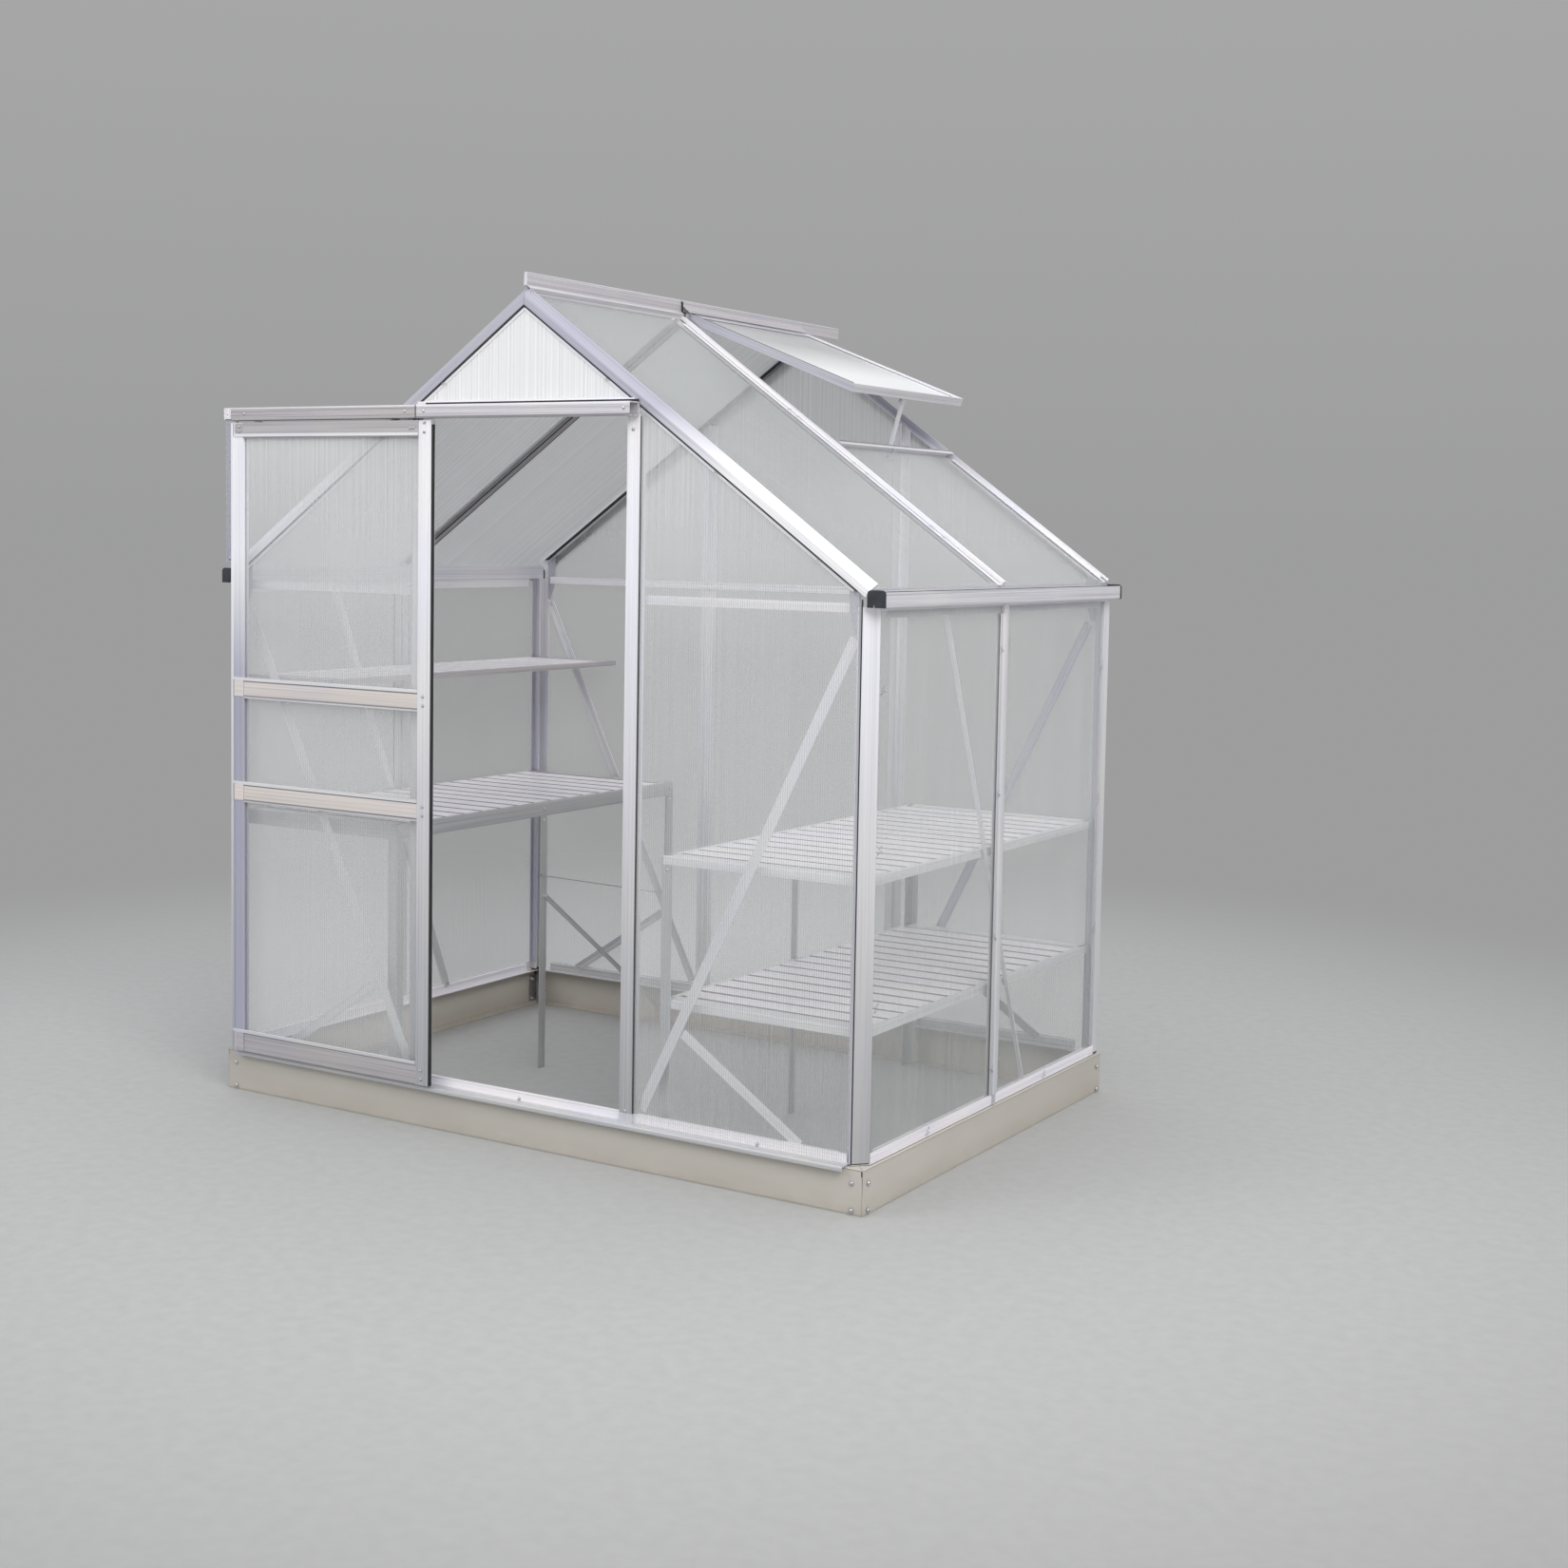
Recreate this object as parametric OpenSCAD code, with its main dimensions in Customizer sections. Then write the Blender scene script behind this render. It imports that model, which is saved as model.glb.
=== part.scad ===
// Small aluminium greenhouse on a steel plinth: three bays wide, two bays deep,
// sliding door in the front gable, one roof vent propped open, staging along both sides.
// Millimetres. X runs along the front gable, Y from front to back, Z up from the ground.
// The origin is the middle of the whole building's footprint, on the ground.

/* [Plinth] */
// width of the steel plinth
base_w = 1930; // [1900:10:1960]
// depth of the steel plinth
base_d = 1290; // [1260:10:1340]
// height of the steel plinth
base_h = 106; // [90:1:120]
// width of the plinth's folded flanges
base_flange = 35; // [25:1:36]

/* [Frame] */
// height of the gutter's underside above the ground
eave_z = 1331; // [1320:1:1345]
// pitch of the roof in degrees
roof_a = 35; // [34:0.5:36]
// depth of the gable rafter's face
rafter_face = 38; // [34:1:40]
// how far the ridge runs on past the back of the plinth
ridge_run_on = 159; // [0:1:180]

/* [Door] */
// distance from the middle to a door jamb's inner edge
jamb_x = 304; // [296:1:308]
// width of a jamb's face
jamb_w = 34; // [30:1:36]
// height of the door's lower edge above the ground
door_z0 = 114; // [112:1:116]
// thickness of the door frame
door_t = 18; // [16:1:20]

/* [Roof vent] */
// pitch of the open vent in degrees
vent_a = 20.8; // [18:0.2:26]
// length of the vent down the slope
vent_l = 535; // [515:1:545]

/* [Staging] */
// height of the staging's top
bench_z = 738; // [700:1:760]
// height of the right staging's lower tray
tray_z = 402; // [350:1:450]
// width of the left staging
bench_w = 518; // [480:1:530]
// height of the shelf on the left wall
shelf_z = 1091; // [1000:1:1150]
// width of the shelf on the left wall
shelf_w = 300; // [250:1:350]
// number of slots between the slats of a tray
slots = 16; // [14:1:18]

/* [Hidden] */
// steel of the plinth
base_t = 2;
half_w = base_w / 2;
mid_y = base_d / 2;

// walls are built in layers, each given by its distance in from the plinth's face
sheet = 4;
sheet_u = 8.5;
flange_u = 13;
rib_u = 22;
brace_t = 2;
wall = 2.5;
slack = 0.5;

// sills
sill_z = base_h + wall;
sill_top = base_h + 24;
sill_in = 38;
band_u = 6;
band_z = base_h + 26;
lip_out = 16;
lip_drop = 9;
lip_end = 46;

// corner posts, in plan
post_u = 7;
post_cut = 40;
post_lip = 44;
post_rib = 60;
post_end = 72;
bar_end = post_end + 2;

// upright glazing bars, half widths in plan
bar_cap = 6;
bar_flange = 26;
bar_rib = 1.5;
mullion_x = jamb_x + 18;

// eaves
gutter_in = half_w - 20;
gutter_out = half_w + 21;
gutter_y = 7;
gutter_h = 33;
gutter_back = 41;
eave_band = 25;

// roof, depths measured square to the slope
cosr = cos(roof_a);
tanr = tan(roof_a);
rafter_x = half_w - 5;
rafter_l = rafter_x / cosr;
roof_z = eave_z + 52 + tanr * rafter_x;
face_y = 3;
face_t = 3;
web_t = 2;
cap_y = 22;
cap_half = 13;
bed_y = 34;
bed_half = 25;
bed_d = 7.5;
sheet_d = 3;
rafter_web_d = 40;
ridge_half = 9;
ridge_h = 30;
ridge_y = 10;
skirt_s0 = 12;
skirt_s1 = 46;

// door and its track
track_y0 = -38;
track_y1 = 0.5;
y0 = (-track_y0 - base_d - ridge_run_on) / 2;
track_z0 = roof_z - 310;
track_z1 = track_z0 + 32;
lip_front = 10;
lip_back = 14.5;
jamb_out = jamb_x + jamb_w;
jamb_y = 4;
jamb_rib = 18;
jamb_flange = 28;
door_slide = 590;
door_x0 = -jamb_x - 27 - door_slide;
door_x1 = jamb_x + 32 - door_slide;
door_y0 = -30;
door_y1 = door_y0 + door_t;
door_yc = (door_y0 + door_y1) / 2;
door_z1 = track_z0 - 5;
stile_l = 44;
stile_r = 38;
groove = 5;
groove_in = 8;
rail_h = 44;
foot_rail_h = 52;
lower_rail_z = 771;
upper_rail_z = 1040;
rail_z = [[door_z0, door_z0 + foot_rail_h], [lower_rail_z, lower_rail_z + rail_h],
          [upper_rail_z, upper_rail_z + rail_h], [door_z1 - rail_h, door_z1]];
track_end = door_x0 - 16;
track_split = jamb_x - 10;
header_z = track_z0 + 39;

// ties and braces
brace_w = 20;
tie_z0 = eave_z - 14;
tie_z1 = eave_z + 7;
tie_end = 60;

// roof vent, set in the back bay of the right slope
hinge_w = 19;
hinge_x = 13;
hinge_z = roof_z - 24;
vent_y0 = mid_y + cap_half + slack;
vent_y1 = base_d - 38;
vent_bar = 24;
vent_h = 22;
vent_s = 586;
stay_y = base_d - 342;

// staging
bench_y0 = 42;
bench_y1 = base_d - 42;
bench_u = 27;
right_w = bench_w + 30;
rim_h = 38;
shelf_h = 15;
tray_h = 20;
tray_t = 2;
side_strip = 14;
end_strip = 20;
slot_w = 18;
leg_w = 28;
leg_t = 2.5;

mill = [0.90, 0.90, 0.92];
aluminium = [0.82, 0.82, 0.85];
dull = [0.72, 0.72, 0.75];
beige = [0.74, 0.72, 0.68];
milky = [0.86, 0.89, 0.87, 0.45];
black = [0.10, 0.10, 0.11];

// ---- placing ----
// the plinth's front face lies at y = 0 inside this
module site() {
  translate([0, y0, 0]) children();
}

module left_and_right() {
  children();
  mirror([1, 0, 0]) children();
}

module to_back() {
  translate([0, base_d, 0]) mirror([0, 1, 0]) children();
}

module front_and_back() {
  children();
  to_back() children();
}

// in from the right wall's plinth face along +X
module from_right() {
  translate([half_w, 0, 0]) mirror([1, 0, 0]) children();
}

// x runs down the right slope from the roof line's top, z points out of the roof
module right_slope() {
  translate([0, 0, roof_z]) rotate([0, roof_a, 0]) children();
}

// x runs down the open vent from its hinge, z points out of it
module vent_plane() {
  translate([hinge_x, 0, hinge_z]) rotate([0, vent_a, 0]) children();
}

// a profile drawn as [y, z], run along X
module along_x(a, b) {
  translate([a, 0, 0]) rotate([90, 0, 90]) linear_extrude(b - a) children();
}

// a profile drawn as [x, z], run along Y
module along_y(a, b) {
  translate([0, b, 0]) rotate([90, 0, 0]) linear_extrude(b - a) children();
}

// a box from one corner to the other
module block(a, b) {
  translate(a) cube(b - a);
}

// a rectangle from one corner to the other
module rect(a, b) {
  translate(a) square(b - a);
}

// a flat strip in a wall facing front, from one point [x, z] to another
module strip_x(p, q, y, w) {
  d = q - p;
  translate([p[0], y, p[1]])
    rotate([0, -atan2(d[1], d[0]), 0])
      translate([0, 0, -w / 2]) cube([norm(d), brace_t, w]);
}

// a flat strip in a side wall, from one point [y, z] to another
module strip_y(p, q, x, w) {
  d = q - p;
  translate([x, p[0], p[1]])
    rotate([atan2(d[1], d[0]), 0, 0])
      translate([0, 0, -w / 2]) cube([brace_t, norm(d), w]);
}

// ---- plinth ----
// one side: a folded channel, open inward, its flanges mitred to a corner at +-half
// and its web as long as the butt joints there leave it
module plinth_channel(half, web) {
  block([-web, 0, 0], [web, base_t, base_h]);
  outer = half - base_t;
  inner = half - base_flange;
  for (z = [0, base_h - base_t])
    translate([0, 0, z]) linear_extrude(base_t)
      polygon([[-outer, base_t], [outer, base_t], [inner, base_flange], [-inner, base_flange]]);
}

module base_front() {
  color(beige) site() plinth_channel(half_w, half_w);
}

module base_back() {
  color(beige) site() to_back() plinth_channel(half_w, half_w);
}

module base_sides() {
  color(beige) site() left_and_right()
    translate([half_w, mid_y, 0]) rotate([0, 0, 90]) plinth_channel(mid_y, mid_y - base_t);
}

// ---- sills ----
// the box rib and floor that carry a sheet's lower edge, drawn as [distance in, z]
module sill_rib() {
  difference() {
    rect([flange_u, base_h], [rib_u, sill_top]);
    rect([flange_u + wall, sill_z], [rib_u - wall, sill_top - wall]);
  }
  rect([rib_u, base_h], [sill_in, sill_z]);
}

// the same with the outer band that covers the sheet's edge
module sill_banded() {
  sill_rib();
  rect([band_u, base_h], [flange_u, sill_z]);
  rect([band_u, base_h], [band_u + base_t, band_z]);
}

module sill_front() {
  color(mill) site() {
    along_x(-half_w + bar_end, half_w - bar_end) sill_rib();
    along_x(-half_w + lip_end, half_w - lip_end) {
      rect([-lip_out, base_h], [flange_u, sill_z]);
      rect([-lip_out, base_h - lip_drop], [-lip_out + wall, sill_z]);
    }
  }
}

module sill_back() {
  color(mill) site() to_back() along_x(-half_w + bar_end, half_w - bar_end) sill_banded();
}

module side_sills() {
  color(mill) site() left_and_right() from_right()
    along_y(bar_end, base_d - bar_end) sill_banded();
}

// ---- uprights ----
// plan of a corner post, measured in from the plinth's corner
module post_plan() {
  inner = flange_u + wall;
  polygon([[post_cut, post_u], [post_u, post_cut], [post_u, post_lip], [inner, post_lip],
           [inner, post_cut - 1.5], [post_cut - 1.5, inner], [post_lip, inner],
           [post_lip, post_u]]);
  rect([flange_u, post_lip], [inner, post_end]);
  rect([post_lip, flange_u], [post_end, inner]);
  rect([flange_u, post_rib], [rib_u, post_rib + wall]);
  rect([post_rib, flange_u], [post_rib + wall, rib_u]);
}

module corner_posts() {
  color(mill) site() front_and_back() left_and_right() from_right()
    translate([0, 0, base_h]) linear_extrude(eave_z - base_h) post_plan();
}

// plan of the right jamb, drawn as [x, y]
module jamb_plan() {
  rect([jamb_x, jamb_y], [jamb_out, jamb_y + wall]);
  rect([jamb_x, jamb_y], [jamb_x + wall, sill_in]);
  rect([jamb_out - wall, jamb_y], [jamb_out, flange_u + wall]);
  rect([jamb_out - wall, flange_u], [jamb_out + jamb_flange, flange_u + wall]);
  rect([jamb_out + jamb_rib, flange_u], [jamb_out + jamb_rib + wall, rib_u]);
}

module door_jambs() {
  color(mill) site() left_and_right() {
    translate([0, 0, sill_top]) linear_extrude(track_z0 + wall - sill_top) jamb_plan();
    block([jamb_x, jamb_y, sill_z], [jamb_out, flange_u - slack, sill_top]);
  }
}

// plan of a glazing bar without its cap, drawn as [distance in, along the wall]
module bar_plan() {
  rect([flange_u, -bar_flange], [flange_u + wall, bar_flange]);
  rect([flange_u, -bar_rib], [rib_u, bar_rib]);
}

module back_mullions() {
  top = roof_z - 14 - tanr * (mullion_x + bar_flange);
  color(mill) site() to_back() left_and_right() translate([mullion_x, 0, 0]) mirror([1, -1, 0]) {
    translate([0, 0, sill_top]) linear_extrude(top - sill_top) bar_plan();
    block([band_u + slack, -bar_cap, band_z], [flange_u, bar_cap, top]);
  }
}

module side_bars() {
  color(mill) site() left_and_right() from_right() translate([0, mid_y, 0]) {
    translate([0, 0, sill_top]) linear_extrude(eave_z - eave_band - 1 - sill_top) bar_plan();
    block([base_t, -bar_cap, band_z], [flange_u, bar_cap, eave_z - slack]);
    block([base_t, -bar_cap, base_h], [band_u, bar_cap, band_z]);
  }
}

// ---- eaves ----
// an open channel outside the wall, and the band behind the sheets' upper edges
module gutters() {
  color(aluminium) site() left_and_right() {
    along_y(gutter_y, base_d - gutter_y) {
      rect([gutter_in, eave_z], [gutter_out, eave_z + wall]);
      rect([gutter_out - wall, eave_z], [gutter_out, eave_z + gutter_h]);
      rect([gutter_in, eave_z], [gutter_in + wall, eave_z + gutter_back]);
    }
    along_y(bar_end, base_d - bar_end)
      rect([half_w - flange_u - wall, eave_z - eave_band], [half_w - flange_u, eave_z + wall]);
  }
}

module gutter_caps() {
  color(black) site() front_and_back() left_and_right()
    block([gutter_in - 2, base_t, eave_z - 1], [gutter_out + 2, gutter_y, eave_z + 37]);
}

// ---- roof frame ----
// drawn as [distance in from the gable, height above the roof line]
module gable_rafter_profile() {
  rect([face_y, -rafter_face], [face_y + face_t, 0]);
  rect([face_y, -bed_d - wall], [face_y + face_t + web_t, 0]);
  rect([face_y, -wall], [cap_y, 0]);
  rect([face_y + face_t, -bed_d - wall], [bed_y, -bed_d]);
}

module gable_rafters() {
  color(mill) site() front_and_back() left_and_right()
    difference() {
      right_slope() along_x(0, rafter_l) gable_rafter_profile();
      block([-rafter_face, 0, 0], [slack, bed_y + 1, roof_z + 1]);
      block([gutter_in - 3, 0, eave_z - 2], [gutter_out, gutter_y + slack, eave_z + 37.5]);
    }
}

module mid_rafters() {
  color(mill) site() left_and_right()
    difference() {
      right_slope() translate([0, mid_y, 0]) {
        block([skirt_s0, -cap_half, -wall], [rafter_l, cap_half, 0]);
        block([skirt_s0, -bar_rib, -rafter_web_d], [rafter_l - 22, bar_rib, -1]);
        block([skirt_s1, -bed_half, -bed_d - wall], [rafter_l - 22, bed_half, -bed_d]);
      }
      block([-rafter_web_d, mid_y - bed_half, 0], [slack, mid_y + bed_half, roof_z + 1]);
    }
}

// the capping over the roof's top; it follows both slopes underneath
module ridge() {
  color(aluminium) site() left_and_right()
    along_y(ridge_y, base_d + ridge_run_on)
      polygon([[0, roof_z + slack], [ridge_half, roof_z + slack - tanr * ridge_half],
               [ridge_half, roof_z + ridge_h - 3], [ridge_half - 5, roof_z + ridge_h],
               [0, roof_z + ridge_h]]);
}

// the skirt over the front bay and the strip that covers the vent's hinge
module ridge_skirt() {
  color(aluminium) site() {
    right_slope() block([skirt_s0, ridge_y + 2, slack], [skirt_s1, mid_y - 2, 3]);
    along_y(mid_y + 4, base_d - 55)
      polygon([[ridge_half, roof_z + 13], [ridge_half + hinge_w, roof_z - 1],
               [ridge_half + hinge_w, roof_z - 3.5], [ridge_half, roof_z + 10.5]]);
  }
}

// ---- door track ----
// a box rail with a slot below for the door's rollers, drawn as [y, z]
module track_profile() {
  difference() {
    rect([track_y0, track_z0], [track_y1, track_z1]);
    rect([track_y0 + wall, track_z0 + wall], [track_y1 - wall, track_z1 - wall]);
    rect([track_y0 + lip_front, track_z0 - 1], [track_y1 - lip_back, track_z0 + wall + 1]);
  }
}

// the rail over the doorway and the plate that closes it up to the gable sheet
module door_header() {
  face_low = roof_z - (rafter_face + slack) / cosr;
  shoulder = (face_low - header_z) / tanr;
  color(mill) site() {
    along_x(-track_split, jamb_out) track_profile();
    translate([0, wall + slack, 0]) rotate([90, 0, 0]) linear_extrude(wall)
      polygon([[-jamb_out, track_z0 + 3], [jamb_out, track_z0 + 3],
               [jamb_out, face_low - tanr * jamb_out], [shoulder, header_z],
               [-shoulder, header_z], [-jamb_out, face_low - tanr * jamb_out]]);
    block([-jamb_out, base_t, track_z0 + 3], [jamb_out, rib_u, track_z0 + 3 + wall]);
  }
}

module track_extension() {
  color(mill) site() along_x(track_end, -track_split - 4) track_profile();
}

// hangs the track's far end from the rafter's face
module track_stay() {
  low = roof_z + tanr * track_end - 18;
  color(mill) site() block([track_end - 34, track_y1, low], [track_end + 12, face_y, track_z1]);
}

// ---- ties and braces ----
module wall_ties() {
  color(dull) site() {
    left_and_right()
      block([jamb_out + 10, rib_u, tie_z0], [half_w - tie_end, rib_u + brace_t, tie_z1]);
    to_back() block([tie_end - half_w, rib_u, tie_z0], [half_w - tie_end, rib_u + brace_t, tie_z1]);
  }
}

module end_braces() {
  color(dull) site() front_and_back() left_and_right() {
    strip_x([jamb_out + 16, base_h + 34], [half_w - tie_end, eave_z - 69], rib_u, brace_w);
    strip_x([jamb_out + 130, base_h + 229], [half_w - 178, base_h + 20], rib_u, brace_w);
  }
}

module side_braces() {
  color(dull) site() left_and_right()
    strip_y([base_d - 447, base_h + 18], [371, eave_z - 16], half_w - rib_u - brace_t, brace_w);
}

// ---- sheets ----
function under_rafter(x) = roof_z - (bed_d + wall + slack) / cosr - tanr * x;

// a sheet in a gable from x = a to x = b, reaching up to the rafter
module bay_sheet(a, b) {
  polygon([[a, sill_z + 1], [b, sill_z + 1], [b, under_rafter(b)], [a, under_rafter(a)]]);
}

module gable_skin() {
  translate([0, sheet_u + sheet, 0]) rotate([90, 0, 0]) linear_extrude(sheet) children();
}

module front_panels() {
  color(milky) site() left_and_right() gable_skin()
    bay_sheet(jamb_out + 1, half_w - post_lip - 1);
}

module gable_panel() {
  w = jamb_x + 26;
  color(milky) site() gable_skin()
    polygon([[-w, header_z + 1], [w, header_z + 1], [w, under_rafter(w)],
             [0, under_rafter(0)], [-w, under_rafter(w)]]);
}

module back_panels() {
  edge = bar_cap + slack;
  m = mullion_x - edge;
  color(milky) site() to_back() gable_skin() {
    left_and_right() bay_sheet(mullion_x + edge, half_w - post_lip - 1);
    polygon([[-m, sill_z + 1], [m, sill_z + 1], [m, under_rafter(m)],
             [0, under_rafter(0)], [-m, under_rafter(m)]]);
  }
}

module side_skins() {
  edge = bar_cap + slack;
  from_right() {
    block([sheet_u, post_lip + 1, sill_z + 1], [sheet_u + sheet, mid_y - edge, eave_z - slack]);
    block([sheet_u, mid_y + edge, sill_z + 1],
          [sheet_u + sheet, base_d - post_lip - 1, eave_z - slack]);
  }
}

module left_panels() {
  color(milky) site() mirror([1, 0, 0]) side_skins();
}

module right_panels() {
  color(milky) site() side_skins();
}

// a roof sheet from a distance down the slope to the eave, between two depths
module roof_sheet(s, a, b) {
  right_slope() block([s, a, -sheet_d - sheet], [rafter_l - 4, b, -sheet_d]);
}

module front_roof_sheet() {
  roof_sheet(14, face_y + face_t + web_t + 1, mid_y - base_t);
}

module back_roof_sheet(s) {
  roof_sheet(s, mid_y + base_t, base_d - face_y - face_t - web_t - 1);
}

module left_roof_panels() {
  color(milky) site() mirror([1, 0, 0]) {
    front_roof_sheet();
    back_roof_sheet(14);
  }
}

module right_roof_panel() {
  color(milky) site() front_roof_sheet();
}

module roof_panel_below_vent() {
  color(milky) site() back_roof_sheet(vent_s + 3);
}

// ---- vent ----
// the bar across the slope that the closed vent lands on, with the stay's lower lug
module vent_sill() {
  color(mill) site() {
    right_slope() {
      block([vent_s - 5, mid_y + cap_half + 1, -wall + 0.1], [vent_s + 14, base_d - cap_y - 1, 0]);
      block([vent_s - bar_rib, mid_y + bed_half + 1, -12], [vent_s + bar_rib, base_d - bed_y - 2, -2]);
    }
    block([450, stay_y - brace_t, roof_z - 369], [478, stay_y, roof_z - 341]);
  }
}

module vent_frame() {
  gap = 0.2;
  w = vent_bar;
  color(mill) site() vent_plane() {
    difference() {
      union() {
        block([0, vent_y0, 0], [vent_l, vent_y0 + w, vent_h]);
        block([0, vent_y1 - w, 0], [vent_l, vent_y1, vent_h]);
        block([0, vent_y0 + w + gap, 0], [w, vent_y1 - w - gap, vent_h]);
        block([vent_l - w, vent_y0 + w + gap, 0], [vent_l, vent_y1 - w - gap, vent_h]);
      }
      block([5, vent_y0 + 5, 11], [vent_l - 5, vent_y1 - 5, 17]);
    }
    block([vent_l - w, stay_y - brace_t, -16], [vent_l - 4, stay_y, 0]);
  }
}

module vent_panel() {
  color(milky) site() vent_plane()
    block([6, vent_y0 + 6, 12], [vent_l - 6, vent_y1 - 6, 12 + sheet]);
}

// the flat strap that props the vent, lug to lug
module vent_stay() {
  reach = vent_l - 16;
  color(aluminium) site()
    strip_x([455, roof_z - 372],
            [hinge_x + reach * cos(vent_a), hinge_z - reach * sin(vent_a) - 14], stay_y, 13);
}

// ---- door ----
module door_stiles() {
  gy = door_yc - groove / 2;
  color(mill) site() difference() {
    union() {
      block([door_x0, door_y0, door_z0], [door_x0 + stile_l, door_y1, door_z1]);
      block([door_x1 - stile_r, door_y0, door_z0], [door_x1, door_y1, door_z1]);
    }
    block([door_x0 + stile_l - groove_in, gy, door_z0 - 1],
          [door_x1 - stile_r + groove_in, gy + groove, door_z1 + 1]);
  }
}

module door_rails() {
  color(mill) site()
    for (r = rail_z)
      block([door_x0 + stile_l, door_y0 + 1, r[0]], [door_x1 - stile_r, door_y1 - 1, r[1]]);
}

module door_panels() {
  y = door_yc - sheet / 2;
  tongue = groove_in - 1;
  color(milky) site()
    for (i = [0 : len(rail_z) - 2])
      block([door_x0 + stile_l - tongue, y, rail_z[i][1] + slack],
            [door_x1 - stile_r + tongue, y + sheet, rail_z[i + 1][0] - slack]);
}

module door_seal() {
  color(black) site()
    block([door_x1, door_y0 + 4, door_z0], [door_x1 + 4, door_y1 - 4, door_z1]);
}

// two wheels in the track, each on a plate that stands on the door
module door_rollers() {
  wheel_r = 8.5;
  wheel_z = door_z1 + 17;
  color(black) site()
    for (x = [door_x0 + 90, door_x1 - 90]) {
      block([x - 14, door_yc - bar_rib, door_z1], [x + 14, door_yc + bar_rib, wheel_z]);
      translate([x, door_yc + 8, wheel_z]) rotate([90, 0, 0])
        cylinder(h = 16, r = wheel_r, $fn = 48);
    }
}

// ---- staging ----
// a slatted tray between y = a and y = b, its wall edge at x = 0
module tray(a, b, w, h, top) {
  pitch = (b - a - 2 * end_strip) / slots;
  difference() {
    block([0, a, top - h], [w, b, top]);
    block([tray_t, a + tray_t, top - h - 1], [w - tray_t, b - tray_t, top - tray_t]);
    for (i = [0 : slots - 1])
      translate([0, a + end_strip + pitch * (i + 0.5), 0])
        block([side_strip, -slot_w / 2, top - tray_t - 1], [w - side_strip, slot_w / 2, top + 1]);
  }
}

// tabs that reach from a tray to the wall's ribs
module wall_tabs(h, top) {
  for (y = [post_rib, mid_y - 1.5, base_d - post_rib - 3])
    block([rib_u - bench_u, y, top - h], [1, y + 3, top - tray_t]);
}

module bench_left_tray() {
  color(dull) site() mirror([1, 0, 0]) from_right() translate([bench_u, 0, 0]) {
    tray(bench_y0, bench_y1, bench_w, rim_h, bench_z);
    wall_tabs(rim_h, bench_z);
  }
}

module bench_right_trays() {
  color(dull) site() from_right() translate([bench_u, 0, 0]) {
    tray(bench_y0, bench_y1, right_w, tray_h, bench_z);
    wall_tabs(tray_h, bench_z);
    tray(bench_y0 + leg_t, bench_y1 - leg_t, right_w - leg_t, tray_h, tray_z);
  }
}

// angle legs at both ends and a flat one at the middle of the tray's inner edge
module legs(w, top) {
  for (y = [bench_y0, bench_y1 - leg_t])
    block([w - leg_w, y, 0], [w, y + leg_t, top]);
  for (y = [bench_y0, bench_y1 - leg_w, mid_y - leg_w])
    block([w - leg_t, y, 0], [w, y + leg_w, top]);
}

module bench_left_legs() {
  color(dull) site() mirror([1, 0, 0]) from_right() translate([bench_u, 0, 0]) legs(bench_w, bench_z - rim_h);
}

module bench_right_legs() {
  color(dull) site() from_right() translate([bench_u, 0, 0]) legs(right_w, bench_z - tray_h);
}

// a flat brace and a thin rod from the middle leg down to the back one
module bench_left_braces() {
  x = bench_u + bench_w - half_w;
  color(mill) site() {
    strip_y([mid_y - 12, 482], [base_d - 50, 28], x, 14);
    strip_y([mid_y - 26, 540], [base_d - 44, 395], x, 8);
  }
}

module upper_shelf() {
  color(dull) site() mirror([1, 0, 0]) from_right() translate([bench_u, 0, 0]) {
    tray(bench_y0, bench_y1, shelf_w, shelf_h, shelf_z);
    wall_tabs(shelf_h, shelf_z);
  }
}

base_front();
base_back();
base_sides();
sill_front();
sill_back();
side_sills();
corner_posts();
door_jambs();
back_mullions();
side_bars();
gutters();
gutter_caps();
gable_rafters();
mid_rafters();
ridge();
ridge_skirt();
door_header();
track_extension();
wall_ties();
track_stay();
end_braces();
side_braces();
front_panels();
gable_panel();
back_panels();
left_panels();
right_panels();
left_roof_panels();
right_roof_panel();
roof_panel_below_vent();
vent_sill();
vent_frame();
vent_panel();
vent_stay();
door_stiles();
door_rails();
door_panels();
door_seal();
door_rollers();
bench_left_tray();
bench_left_legs();
bench_left_braces();
bench_right_trays();
bench_right_legs();
upper_shelf();
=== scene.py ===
import math

import bpy
from mathutils import Matrix, Vector


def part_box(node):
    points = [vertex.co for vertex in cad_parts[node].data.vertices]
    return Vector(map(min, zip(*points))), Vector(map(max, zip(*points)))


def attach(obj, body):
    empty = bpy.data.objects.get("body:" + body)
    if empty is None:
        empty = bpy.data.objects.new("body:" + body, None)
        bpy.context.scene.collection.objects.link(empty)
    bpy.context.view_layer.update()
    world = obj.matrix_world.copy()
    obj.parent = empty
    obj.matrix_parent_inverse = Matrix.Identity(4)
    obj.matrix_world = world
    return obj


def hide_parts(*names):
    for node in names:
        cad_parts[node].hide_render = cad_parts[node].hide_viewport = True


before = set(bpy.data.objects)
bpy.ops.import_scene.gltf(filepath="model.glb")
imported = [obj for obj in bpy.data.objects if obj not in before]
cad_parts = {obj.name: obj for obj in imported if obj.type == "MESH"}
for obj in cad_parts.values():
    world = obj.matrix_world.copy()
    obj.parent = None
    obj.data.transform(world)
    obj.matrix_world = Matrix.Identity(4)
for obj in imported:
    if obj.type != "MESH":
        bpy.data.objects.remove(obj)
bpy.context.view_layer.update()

# ---- sizes in millimetres: x = 0 in the middle, y = 0 at the plinth's front face, z = 0 at its foot ----
MM = 0.001
FRONT_LO, FRONT_HI = [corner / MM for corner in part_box("base_front")]
Y0 = FRONT_LO.y
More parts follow.
